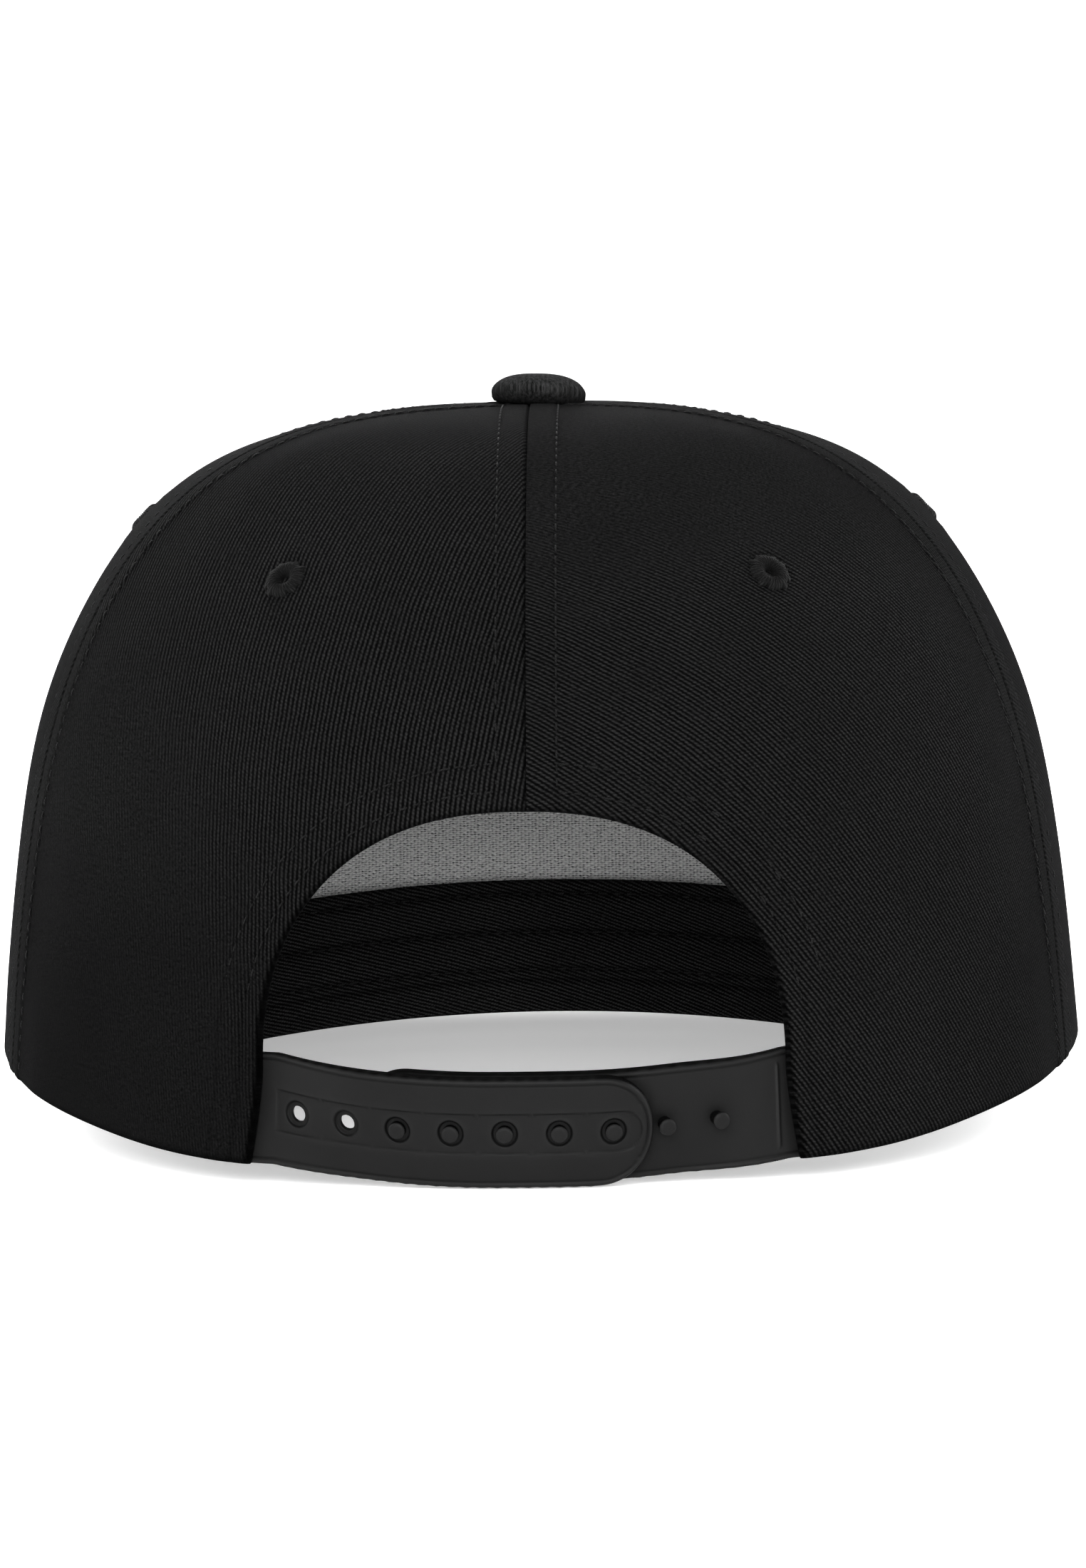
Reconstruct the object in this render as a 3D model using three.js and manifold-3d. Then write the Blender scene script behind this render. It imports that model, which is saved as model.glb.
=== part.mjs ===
// Snapback cap: six crown panels, a brim, a sweatband, a stiff front lining, a covered button,
// six sewn eyelets and a two part plastic snap strap.
// Millimetres, +Z up. The brim points along -Y and the strap lies at +Y. Left is the wearer's left, at +X.
// Azimuths are in degrees from the rear centre, positive towards the wearer's right.

import * as THREE from 'three';
import { mergeVertices } from 'three/addons/utils/BufferGeometryUtils.js';
import Module from 'manifold-3d';

const wasm = await Module();
wasm.setup();

// Crown
const halfWidth = 90;
const rearReach = 92;
const frontReach = 100;
const crownHeight = 119.3;
const clothWall = 1.5;
const sideSeamAzimuth = 73.5;
const frontSeamAzimuth = 128;
const tipRadius = 3.2;

// How boxy the crown's wall is, and how far it leans in by the top, at the rear, side and front
const wallShape = [
  { region: 'rear', boxiness: 2.68, lean: 0.13 },
  { region: 'side', boxiness: 3.18, lean: 0.088 },
  { region: 'front', boxiness: 3.79, lean: 0.049 },
];

// Rim, above the surface that the cap rests on
const hemLift = 3.2;
const sideLift = 13;
const frontLift = 6.4;

// Arched opening at the back
const openingHalfWidth = 41.4;
const openingShift = 1.1;
const openingFlare = 2.7;
const openingTop = 58.2;
const openingShoulder = 18;
const openingRoundness = 2.3;

// Brim
const brimLength = 68;
const brimWall = 2.6;
const brimEndAngle = 58;
const brimSpread = 34;

// Sweatband and front lining
const sweatbandHeight = 24;
const sweatbandWall = 1;
const sweatbandRise = 0.6;
const liningWall = 1;

// Snap strap
const strapWidth = 17.2;
const strapWall = 1.4;
const strapEndLength = 8.6;
const strapEndRoundness = 2.1;
const strapTabLength = 9;
const strapFlatHalf = 6;
const snapCount = 7;
const snapPitch = 8.7;
const firstHoleAzimuth = -24.75;
const firstPegStep = 2;
const holesEndMargin = 6.4;
const pegsEndMargin = 6.5;
const pegNeck = 2;
const pegHeadLip = 0.35;
const pegHeadWall = 0.4;

// Button
const buttonDiameter = 15.6;
const buttonHeight = 4.6;
const shankDiameter = 4.4;
const washerDiameter = 11;
const washerWall = 1;

// Eyelets
const eyeletDiameter = 6.8;
const eyeletHole = 1.6;
const eyeletSleeve = 2.8;
const eyeletRim = 0.6;
const eyeletRows = [
  { place: 'rear', azimuth: 36.4, height: crownHeight * 0.782 },
  { place: 'side', azimuth: 92.5, height: crownHeight * 0.847 },
  { place: 'front', azimuth: 154, height: crownHeight * 0.847 },
];

// Clearances between pieces
const gap = 0.3;
const pegClearance = 0.25;

// Layers, as distances in from the crown's outer face
const secondLayer = clothWall + gap;
const thirdLayer = secondLayer + strapWall + gap;

const degrees = THREE.MathUtils.degToRad;
const smooth = (t) => THREE.MathUtils.smoothstep(t, 0, 1);

// Brim outline

const brimReach = (share) => brimLength * Math.sqrt(1 - Math.abs(share) ** 2.5);

function brimPlan(share, outward) {
  const around = degrees(brimEndAngle * share);
  const turn = degrees(brimSpread * share);
  const reach = brimReach(share) * outward;
  return new THREE.Vector2(
    (halfWidth + gap) * Math.sin(around) + reach * Math.sin(turn),
    -(frontReach + gap) * Math.cos(around) - reach * Math.cos(turn),
  );
}

function widestBrim() {
  let widest = 0;
  for (let step = 0; step <= 400; step += 1) {
    widest = Math.max(widest, brimPlan(step / 400, 1).x);
  }
  return widest;
}

const brimHalfWidth = widestBrim();

const brimUnderside = (x) => frontLift * (1 - (x / brimHalfWidth) ** 2);

// Crown surface

const openingAzimuth = THREE.MathUtils.radToDeg(Math.asin(openingHalfWidth / halfWidth));
const brimEndAzimuth = 180 - brimEndAngle;

function rimHeight(azimuth) {
  const around = Math.abs(azimuth);
  const x = halfWidth * Math.sin(degrees(around));
  if (around >= brimEndAzimuth) {
    return Math.max(brimUnderside(x), 0);
  }
  if (around <= 90) {
    const rise = smooth((around - openingAzimuth) / (90 - openingAzimuth));
    return hemLift + (sideLift - hemLift) * rise;
  }
  const fall = smooth((around - 90) / (brimEndAzimuth - 90));
  const brimEndHeight = brimUnderside(halfWidth * Math.sin(degrees(brimEndAzimuth)));
  return sideLift + (brimEndHeight - sideLift) * fall;
}

function wallAt(azimuth) {
  const facing = Math.cos(degrees(azimuth));
  const [rear, side, front] = wallShape;
  const end = facing > 0 ? rear : front;
  const share = facing * facing;
  return {
    boxiness: THREE.MathUtils.lerp(side.boxiness, end.boxiness, share),
    lean: THREE.MathUtils.lerp(side.lean, end.lean, share),
  };
}

function place(azimuth, spread, height, inset) {
  const around = degrees(azimuth);
  const reach = Math.cos(around) > 0 ? rearReach : frontReach;
  return new THREE.Vector3(
    -(halfWidth - inset) * Math.sin(around) * spread,
    (reach - inset) * Math.cos(around) * spread,
    height,
  );
}

// A point of the crown at a climb angle: 0 at the rim, 90 at the top
function crownSpread(azimuth, climb) {
  const { boxiness, lean } = wallAt(azimuth);
  const across = Math.cos(degrees(climb));
  const up = Math.sin(degrees(climb));
  const radius = (across ** boxiness + up ** boxiness) ** (-1 / boxiness);
  return { spread: radius * across * (1 - lean * radius * up), rise: radius * up };
}

function crownPoint(azimuth, climb, inset) {
  const { spread, rise } = crownSpread(azimuth, climb);
  const rim = rimHeight(azimuth);
  return place(azimuth, spread, rim + rise * (crownHeight - inset - rim), inset);
}

// A point of the crown at a height
function wallPoint(azimuth, height, inset) {
  const { boxiness, lean } = wallAt(azimuth);
  const rim = rimHeight(azimuth);
  const rise = (height - rim) / (crownHeight - inset - rim);
  const bulge = rise > 0 ? (1 - rise ** boxiness) ** (1 / boxiness) : 1;
  return place(azimuth, bulge * (1 - lean * rise), height, inset);
}

function wallNormal(azimuth, height) {
  const here = wallPoint(azimuth, height, 0);
  const along = wallPoint(azimuth + 0.5, height, 0).sub(here);
  const up = wallPoint(azimuth, height + 0.5, 0).sub(here);
  return along.cross(up).normalize();
}

// How deep under the outer face a layer lies, measured along the normal
function wallDepth(azimuth, height, inset) {
  const across = wallPoint(azimuth, height, 0).sub(wallPoint(azimuth, height, inset));
  return across.dot(wallNormal(azimuth, height));
}

// Solids

function outward(geometry) {
  const position = geometry.getAttribute('position');
  const index = geometry.getIndex();
  const [a, b, c] = [new THREE.Vector3(), new THREE.Vector3(), new THREE.Vector3()];
  let volume = 0;
  for (let i = 0; i < index.count; i += 3) {
    a.fromBufferAttribute(position, index.getX(i));
    b.fromBufferAttribute(position, index.getX(i + 1));
    c.fromBufferAttribute(position, index.getX(i + 2));
    volume += a.dot(b.cross(c));
  }
  if (volume < 0) {
    index.array.reverse();
  }
  return geometry;
}

// A closed sheet between an outer and an inner grid of points, u along and v across
function sheet(columns, rows, outer, inner) {
  const points = [];
  for (const face of [outer, inner]) {
    for (let i = 0; i <= columns; i += 1) {
      for (let j = 0; j <= rows; j += 1) {
        points.push(...face(i / columns, j / rows).toArray());
      }
    }
  }
  const layer = (columns + 1) * (rows + 1);
  const at = (face, i, j) => face * layer + i * (rows + 1) + j;
  const triangles = [];
  const quad = (a, b, c, d) => triangles.push(a, b, c, a, c, d);
  for (let i = 0; i < columns; i += 1) {
    for (let j = 0; j < rows; j += 1) {
      quad(at(0, i, j), at(0, i + 1, j), at(0, i + 1, j + 1), at(0, i, j + 1));
      quad(at(1, i, j), at(1, i, j + 1), at(1, i + 1, j + 1), at(1, i + 1, j));
    }
    quad(at(0, i, 0), at(1, i, 0), at(1, i + 1, 0), at(0, i + 1, 0));
    quad(at(0, i, rows), at(0, i + 1, rows), at(1, i + 1, rows), at(1, i, rows));
  }
  for (let j = 0; j < rows; j += 1) {
    quad(at(0, 0, j), at(0, 0, j + 1), at(1, 0, j + 1), at(1, 0, j));
    quad(at(0, columns, j), at(1, columns, j), at(1, columns, j + 1), at(0, columns, j + 1));
  }
  const geometry = new THREE.BufferGeometry();
  geometry.setAttribute('position', new THREE.Float32BufferAttribute(points, 3));
  geometry.setIndex(triangles);
  return outward(geometry);
}

function toManifold(geometry) {
  const bare = geometry.clone();
  bare.deleteAttribute('normal');
  bare.deleteAttribute('uv');
  const merged = mergeVertices(bare, 1e-4);
  return new wasm.Manifold(new wasm.Mesh({
    numProp: 3,
    vertProperties: new Float32Array(merged.getAttribute('position').array),
    triVerts: new Uint32Array(merged.getIndex().array),
  }));
}

function toGeometry(solid) {
  const mesh = solid.getMesh();
  const geometry = new THREE.BufferGeometry();
  geometry.setAttribute('position', new THREE.BufferAttribute(mesh.vertProperties, 3));
  geometry.setIndex(new THREE.BufferAttribute(mesh.triVerts, 1));
  return geometry;
}

const cut = (geometry, tools) => toGeometry(
  tools.reduce((solid, tool) => solid.subtract(toManifold(tool)), toManifold(geometry)),
);

const join = (geometry, pieces) => toGeometry(
  pieces.reduce((solid, piece) => solid.add(toManifold(piece)), toManifold(geometry)),
);

// A pin or drill along the wall's normal, from one inset to another
function wallPin(azimuth, height, diameter, fromInset, toInset, segments) {
  const normal = wallNormal(azimuth, height);
  const centre = wallPoint(azimuth, height, 0);
  const pin = new THREE.CylinderGeometry(diameter / 2, diameter / 2, fromInset - toInset, segments);
  pin.applyQuaternion(new THREE.Quaternion().setFromUnitVectors(new THREE.Vector3(0, 1, 0), normal));
  const middle = centre.addScaledVector(normal, -(fromInset + toInset) / 2);
  pin.translate(middle.x, middle.y, middle.z);
  return pin;
}

// Materials

const cloth = (color) => new THREE.MeshStandardMaterial({ color, roughness: 0.92, metalness: 0 });
const blackTwill = 0x1f1f20;
const darkTwill = 0x19191a;
const blackThread = 0x242425;
const greyBuckram = 0x7a7a78;
const blackPlastic = 0x29292a;

const cap = new THREE.Group();

function addPiece(name, geometry, material) {
  const mesh = new THREE.Mesh(geometry, material);
  mesh.name = name;
  cap.add(mesh);
}

// Crown panels

const panelRows = 14;
const topClimb = THREE.MathUtils.radToDeg(Math.acos(tipRadius / halfWidth));

function panelGeometry(from, to, columns) {
  const layer = (inset) => (u, v) => {
    const climb = topClimb * v;
    const middle = (from + to) / 2;
    const radius = halfWidth * crownSpread(middle, climb).spread;
    const seam = THREE.MathUtils.radToDeg(gap / 2 / radius);
    return crownPoint(THREE.MathUtils.lerp(from + seam, to - seam, u), climb, inset);
  };
  return sheet(columns, panelRows, layer(0), layer(clothWall));
}

// The opening's side edge, which leans outward below its shoulder
function openingEdge(height) {
  const below = Math.max((openingShoulder - height) / openingShoulder, 0);
  return openingHalfWidth + openingFlare * below ** 1.4;
}

function openingTool() {
  const shape = new THREE.Shape();
  const steps = 32;
  const drops = [-10, 0, 4, 8, 13];
  shape.moveTo(-openingEdge(drops[0]), drops[0]);
  drops.slice(1).forEach((drop) => shape.lineTo(-openingEdge(drop), drop));
  for (let step = 0; step <= steps; step += 1) {
    const turn = Math.PI * (1 - step / steps);
    const power = 2 / openingRoundness;
    const across = Math.sign(Math.cos(turn)) * Math.abs(Math.cos(turn)) ** power;
    shape.lineTo(
      openingHalfWidth * across,
      openingShoulder + (openingTop - openingShoulder) * Math.sin(turn) ** power,
    );
  }
  drops.reverse().forEach((drop) => shape.lineTo(openingEdge(drop), drop));
  const tool = new THREE.ExtrudeGeometry(shape, { depth: rearReach, bevelEnabled: false });
  tool.rotateX(Math.PI / 2);
  tool.translate(openingShift, rearReach * 1.3, 0);
  return tool;
}

const eyeletDrill = (row, side, deepest) => wallPin(
  side * row.azimuth, row.height, eyeletSleeve + gap, deepest + 2, -3, 14,
);

const panelSpans = [
  { place: 'rear', from: 0, to: sideSeamAzimuth, columns: 16 },
  { place: 'side', from: sideSeamAzimuth, to: frontSeamAzimuth, columns: 12 },
  { place: 'front', from: frontSeamAzimuth, to: 180, columns: 12 },
];

const sides = [
  { side: -1, word: 'left' },
  { side: 1, word: 'right' },
];

for (const span of panelSpans) {
  for (const { side, word } of sides) {
    const [from, to] = side > 0 ? [span.from, span.to] : [-span.to, -span.from];
    const row = eyeletRows.find((entry) => entry.place === span.place);
    const tools = [eyeletDrill(row, side, clothWall)];
    if (span.place === 'rear') {
      tools.push(openingTool());
    }
    addPiece(`${span.place}_panel_${word}`, cut(panelGeometry(from, to, span.columns), tools),
      cloth(blackTwill));
  }
}

// Brim

function brimGeometry() {
  const face = (lift) => (u, v) => {
    const share = 0.999 * Math.sin(Math.PI * (u - 0.5));
    const plan = brimPlan(share, v);
    return new THREE.Vector3(plan.x, plan.y, brimUnderside(plan.x) + lift);
  };
  return sheet(34, 4, face(brimWall), face(0));
}

addPiece('brim', brimGeometry(), cloth(blackTwill));

// Sweatband, from one side of the opening round the front to the other

function sweatbandGeometry() {
  const start = openingAzimuth + 4;
  const face = (inset) => (u, v) => {
    const turn = THREE.MathUtils.lerp(start, 360 - start, u);
    const azimuth = turn > 180 ? turn - 360 : turn;
    const height = rimHeight(azimuth) + sweatbandRise + sweatbandHeight * v;
    return wallPoint(azimuth, height, inset);
  };
  return sheet(54, 2, face(thirdLayer), face(thirdLayer + sweatbandWall));
}

addPiece('sweatband', sweatbandGeometry(), cloth(darkTwill));

// Front lining, behind both front panels and the top of the sweatband

// It keeps to the panels' own rows, from their first to their last but one
function liningGeometry() {
  const margin = 1.5;
  const row = topClimb / panelRows;
  const face = (inset) => (u, v) => {
    const turn = THREE.MathUtils.lerp(frontSeamAzimuth + margin, 360 - frontSeamAzimuth - margin, u);
    const azimuth = turn > 180 ? turn - 360 : turn;
    return crownPoint(azimuth, THREE.MathUtils.lerp(row, topClimb - row, v), inset);
  };
  return sheet(12, panelRows - 2, face(secondLayer), face(secondLayer + liningWall));
}

const frontRow = eyeletRows.find((entry) => entry.place === 'front');
const liningDepth = secondLayer + liningWall;
addPiece('front_lining', cut(liningGeometry(), sides.map(({ side }) => eyeletDrill(frontRow, side,
  liningDepth))), cloth(greyBuckram));

// Snap strap

const strapStep = THREE.MathUtils.radToDeg(snapPitch / halfWidth);
const strapAngle = (length) => THREE.MathUtils.radToDeg(length / halfWidth);
const flatAzimuth = strapAngle(strapFlatHalf);
const tabAzimuth = openingAzimuth + strapAngle(strapTabLength);
const lastHoleAzimuth = firstHoleAzimuth + (snapCount - 1) * strapStep;
const holesEndAzimuth = lastHoleAzimuth + strapAngle(holesEndMargin);
const firstPegAzimuth = firstHoleAzimuth + firstPegStep * strapStep;
const pegsEndAzimuth = firstPegAzimuth - strapAngle(pegsEndMargin);

function strapMiddle(azimuth) {
  const rise = (Math.abs(azimuth) - flatAzimuth) / (openingAzimuth - flatAzimuth);
  return strapWidth / 2 + hemLift * THREE.MathUtils.clamp(rise, 0, 1) ** 2;
}

// A band from its sewn tab to its rounded free end
function strapGeometry(tab, end, insetAt) {
  const face = (depth) => (u, v) => {
    const azimuth = THREE.MathUtils.lerp(tab, end, Math.sin(Math.PI * 0.5 * u));
    const toEnd = Math.abs(end - azimuth) / strapAngle(strapEndLength);
    const corner = toEnd < 1
      ? (1 - (1 - toEnd) ** strapEndRoundness) ** (1 / strapEndRoundness) : 1;
    const across = (v - 0.5) * strapWidth * Math.max(corner, 0.12);
    return wallPoint(azimuth, strapMiddle(azimuth) + across, insetAt(azimuth) + depth);
  };
  return sheet(24, 2, face(0), face(strapWall));
}

const holes = [];
const pegs = [];
for (let snap = 0; snap < snapCount; snap += 1) {
  const holeAzimuth = firstHoleAzimuth + snap * strapStep;
  holes.push(wallPin(holeAzimuth, strapMiddle(holeAzimuth), pegNeck + 2 * pegClearance,
    thirdLayer + 1, -1, 12));
}

addPiece('strap_holes', cut(strapGeometry(-tabAzimuth, holesEndAzimuth, () => secondLayer), holes),
  cloth(blackPlastic));

// The peg half runs in the third layer under the other half, and steps out to its own tab
function pegInset(azimuth) {
  const clear = holesEndAzimuth + 1;
  const back = smooth((openingAzimuth - azimuth) / (openingAzimuth - clear));
  return THREE.MathUtils.lerp(secondLayer, thirdLayer, back);
}

for (let snap = 0; snap < snapCount; snap += 1) {
  const pegAzimuth = firstPegAzimuth + snap * strapStep;
  const seat = pegInset(pegAzimuth);
  const headSeat = seat - strapWall - 2 * gap;
  pegs.push(wallPin(pegAzimuth, strapMiddle(pegAzimuth), pegNeck, seat + strapWall / 2,
    headSeat - pegHeadWall / 2, 8));
  pegs.push(wallPin(pegAzimuth, strapMiddle(pegAzimuth), pegNeck + 2 * pegHeadLip, headSeat,
    headSeat - pegHeadWall, 10));
}

addPiece('strap_pegs', join(strapGeometry(tabAzimuth, pegsEndAzimuth, pegInset), pegs),
  cloth(blackPlastic));

// Button, with its shank and the washer that holds it

function buttonGeometry() {
  const radius = buttonDiameter / 2;
  const seat = crownHeight + gap;
  const washerTop = crownHeight - clothWall - gap;
  const profile = [
    [0, washerTop - washerWall],
    [washerDiameter / 2, washerTop - washerWall],
    [washerDiameter / 2, washerTop],
    [shankDiameter / 2, washerTop],
    [shankDiameter / 2, seat],
    [radius * 0.9, seat],
    [radius, seat + buttonHeight * 0.22],
    [radius * 0.97, seat + buttonHeight * 0.48],
    [radius * 0.84, seat + buttonHeight * 0.74],
    [radius * 0.6, seat + buttonHeight * 0.91],
    [radius * 0.3, seat + buttonHeight * 0.98],
    [0, seat + buttonHeight],
  ].map(([r, z]) => new THREE.Vector2(r, z));
  const geometry = new THREE.LatheGeometry(profile, 20);
  geometry.rotateX(Math.PI / 2);
  return toGeometry(toManifold(geometry));
}

addPiece('button', buttonGeometry(), cloth(blackTwill));

// Eyelets, each a sewn ring on both faces joined through the cloth

function eyeletGeometry(row, side, inset) {
  const ring = eyeletDiameter / 2;
  const hole = eyeletHole / 2;
  const sleeve = eyeletSleeve / 2;
  const inner = -wallDepth(row.azimuth, row.height, inset) - 2 * gap;
  const profile = [
    [hole, gap],
    [hole, inner],
    [hole + eyeletRim / 2, inner - eyeletRim],
    [ring - eyeletRim, inner - eyeletRim],
    [ring, inner],
    [sleeve, inner],
    [sleeve, gap],
    [ring, gap],
    [ring - eyeletRim, gap + eyeletRim],
    [hole + eyeletRim / 2, gap + eyeletRim],
    [hole, gap],
  ].map(([r, z]) => new THREE.Vector2(r, z));
  const geometry = new THREE.LatheGeometry(profile, 12);
  const normal = wallNormal(side * row.azimuth, row.height);
  geometry.applyQuaternion(
    new THREE.Quaternion().setFromUnitVectors(new THREE.Vector3(0, 1, 0), normal),
  );
  const centre = wallPoint(side * row.azimuth, row.height, 0);
  geometry.translate(centre.x, centre.y, centre.z);
  return toGeometry(toManifold(geometry));
}

for (const row of eyeletRows) {
  for (const { side, word } of sides) {
    const inset = row.place === 'front' ? liningDepth : clothWall;
    addPiece(`eyelet_${row.place}_${word}`, eyeletGeometry(row, side, inset), cloth(blackThread));
  }
}

// The cap stands over the middle of its own length
const extent = new THREE.Box3().setFromObject(cap, true);
cap.position.y = -(extent.min.y + extent.max.y) / 2;

export default cap;
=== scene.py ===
"""A black twill snapback cap, seen from behind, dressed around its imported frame.

Lengths are worked out in millimetres about the crown's own axis, and turned into metres as each
mesh is made. Azimuths are in degrees from the rear centre, positive to the wearer's right (-X).
"""

import math

import bpy
import numpy as np
from mathutils import Matrix, Vector


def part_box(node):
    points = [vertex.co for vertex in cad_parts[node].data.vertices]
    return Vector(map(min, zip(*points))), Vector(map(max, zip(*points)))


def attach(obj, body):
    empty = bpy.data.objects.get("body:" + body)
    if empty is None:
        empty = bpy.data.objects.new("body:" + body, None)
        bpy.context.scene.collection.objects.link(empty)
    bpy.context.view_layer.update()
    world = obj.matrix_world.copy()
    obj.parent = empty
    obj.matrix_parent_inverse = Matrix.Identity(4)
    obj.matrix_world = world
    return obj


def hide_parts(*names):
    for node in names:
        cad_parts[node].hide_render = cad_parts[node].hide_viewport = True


MM = 0.001

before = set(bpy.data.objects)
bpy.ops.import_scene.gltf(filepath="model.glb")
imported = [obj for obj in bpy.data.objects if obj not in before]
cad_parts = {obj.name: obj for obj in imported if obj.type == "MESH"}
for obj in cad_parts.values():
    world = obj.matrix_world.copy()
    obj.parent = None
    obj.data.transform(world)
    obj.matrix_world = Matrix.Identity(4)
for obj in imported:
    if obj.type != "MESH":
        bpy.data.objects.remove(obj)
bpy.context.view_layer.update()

# ---- Sizes that the part's source also uses ----

HALF_WIDTH = 90.0
REAR_REACH = 92.0
FRONT_REACH = 100.0
CLOTH_WALL = 1.5
SIDE_SEAM = 73.5
FRONT_SEAM = 128.0
TIP_RADIUS = 3.2
WALL_REAR = (2.68, 0.13)
WALL_SIDE = (3.18, 0.088)
WALL_FRONT = (3.79, 0.049)
HEM_LIFT = 3.2
SIDE_LIFT = 13.0
FRONT_LIFT = 6.4
OPENING_HALF_WIDTH = 41.4
OPENING_SHIFT = 1.1
OPENING_FLARE = 2.7
OPENING_TOP = 58.2
OPENING_SHOULDER = 18.0
OPENING_ROUNDNESS = 2.3
BRIM_LENGTH = 68.0
BRIM_WALL = 2.6
BRIM_END_ANGLE = 58.0
BRIM_SPREAD = 34.0
SWEATBAND_HEIGHT = 24.0
SWEATBAND_WALL = 1.0
SWEATBAND_RISE = 0.6
LINING_WALL = 1.0
STRAP_WIDTH = 17.2
STRAP_WALL = 1.4
STRAP_END = 8.6
STRAP_END_ROUNDNESS = 2.1
STRAP_TAB = 9.0
STRAP_FLAT_HALF = 6.0
SNAP_COUNT = 7
SNAP_PITCH = 8.7
FIRST_HOLE = -24.75
FIRST_PEG_STEP = 2
HOLES_END_MARGIN = 6.4
PEGS_END_MARGIN = 6.5
BUTTON_DIAMETER = 15.6
BUTTON_HEIGHT = 4.6
BUTTON_SHIFT = 1.2
EYELET_DIAMETER = 6.8
EYELET_HOLE = 1.6
EYELETS = {"rear": (36.4, 0.782), "side": (92.5, 0.847), "front": (154.0, 0.847)}
GAP = 0.3
SECOND_LAYER = CLOTH_WALL + GAP
THIRD_LAYER = SECOND_LAYER + STRAP_WALL + GAP

# ---- Places found from the frame ----

button_low, button_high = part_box("button")
CENTRE_Y = (button_low.y + button_high.y) / 2 / MM
CROWN_HEIGHT = button_high.z / MM - BUTTON_HEIGHT - GAP

# ---- Sewing ----

SEAM_ROW = 4.7
ARCH_ROWS = (3.0, 7.5)
STITCH_PITCH = 2.3
STITCH_LENGTH = 1.65
STITCH_RADIUS = 0.13
TWILL_PITCH = 0.78

# ---- Curves ----


def smooth(t):
    t = np.clip(t, 0, 1)
    return t * t * (3 - 2 * t)


def lerp(a, b, t):
    return a + (b - a) * t


def hump(d, centre, width):
    return np.exp(-(((d - centre) / width) ** 2))


def marks(d, *rows):
    """The sum of some humps of a distance, each given by its height, centre and width."""
    return sum(height * hump(d, centre, width) for height, centre, width in rows)


def past(d, start, run):
    """0 up to a start, rising to 1 over a run past it."""
    return smooth((d - start) / run)


def within(d, edge, run):
    """1 up to an edge, falling to 0 over a run past it."""
    return 1 - past(d, edge, run)


# ---- Brim outline and rim ----

BRIM_ROUNDNESS = 2.5


def brim_reach(share):
    return BRIM_LENGTH * np.sqrt(np.maximum(1 - np.abs(share) ** BRIM_ROUNDNESS, 0))


def brim_plan(share, outward):
    around = np.radians(BRIM_END_ANGLE * share)
    turn = np.radians(BRIM_SPREAD * share)
    reach = brim_reach(share) * outward
    x = (HALF_WIDTH + GAP) * np.sin(around) + reach * np.sin(turn)
    y = -(FRONT_REACH + GAP) * np.cos(around) - reach * np.cos(turn)
    return x, y


BRIM_HALF_WIDTH = float(brim_plan(np.linspace(0, 1, 401), 1.0)[0].max())
OPENING_AZIMUTH = math.degrees(math.asin(OPENING_HALF_WIDTH / HALF_WIDTH))
BRIM_END_AZIMUTH = 180 - BRIM_END_ANGLE


def brim_underside(x):
    return FRONT_LIFT * (1 - (x / BRIM_HALF_WIDTH) ** 2)


def rim_height(azimuth):
    around = np.abs(np.asarray(azimuth, float))
    x = HALF_WIDTH * np.sin(np.radians(around))
    end = brim_underside(HALF_WIDTH * math.sin(math.radians(BRIM_END_AZIMUTH)))
    rear = lerp(HEM_LIFT, SIDE_LIFT, past(around, OPENING_AZIMUTH, 90 - OPENING_AZIMUTH))
    fall = lerp(SIDE_LIFT, end, past(around, 90, BRIM_END_AZIMUTH - 90))
    front = np.maximum(brim_underside(x), 0)
    return np.where(around >= BRIM_END_AZIMUTH, front, np.where(around <= 90, rear, fall))


# ---- Crown surface ----


def wall_at(azimuth):
    """The wall's boxiness and lean at an azimuth."""
    facing = np.cos(np.radians(azimuth))
    return [lerp(side, np.where(facing > 0, rear, front), facing * facing)
            for rear, side, front in zip(WALL_REAR, WALL_SIDE, WALL_FRONT)]


def place(azimuth, spread, height, inset):
    around = np.radians(azimuth)
    reach = np.where(np.cos(around) > 0, REAR_REACH, FRONT_REACH) - inset
    x = -(HALF_WIDTH - inset) * np.sin(around) * spread
    y = reach * np.cos(around) * spread
    return np.stack(np.broadcast_arrays(x, y, height), -1)


def crown_point(azimuth, climb, inset=0.0):
    """A point of the crown at a climb angle: 0 at the rim, 90 at the top."""
    azimuth, climb = np.broadcast_arrays(np.asarray(azimuth, float), np.asarray(climb, float))
    boxiness, lean = wall_at(azimuth)
    across = np.maximum(np.cos(np.radians(climb)), 1e-6)
    up = np.sin(np.radians(climb))
    sign = np.sign(up)
    up = np.abs(up)
    radius = (across**boxiness + up**boxiness) ** (-1 / boxiness)
    rise = radius * up * sign
    rim = rim_height(azimuth)
    height = rim + rise * (CROWN_HEIGHT - inset - rim)
    return place(azimuth, radius * across * (1 - lean * rise), height, inset)


def climb_at(azimuth, height):
    boxiness, _ = wall_at(azimuth)
    rim = rim_height(azimuth)
    rise = np.clip((height - rim) / (CROWN_HEIGHT - rim), 0, 0.9999)
    tangent = (rise**boxiness / (1 - rise**boxiness)) ** (1 / boxiness)
    return np.degrees(np.arctan(tangent))


def wall_point(azimuth, height, inset):
    azimuth, height = np.broadcast_arrays(np.asarray(azimuth, float), np.asarray(height, float))
    boxiness, lean = wall_at(azimuth)
    rim = rim_height(azimuth)
    rise = (height - rim) / (CROWN_HEIGHT - inset - rim)
    bulge = (1 - np.clip(rise, 0, 1) ** boxiness) ** (1 / boxiness)
    return place(azimuth, bulge * (1 - lean * rise), height, inset)


def unit(v):
    return v / np.maximum(np.linalg.norm(v, axis=-1, keepdims=True), 1e-12)


FRAME_STEP = 0.05


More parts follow.
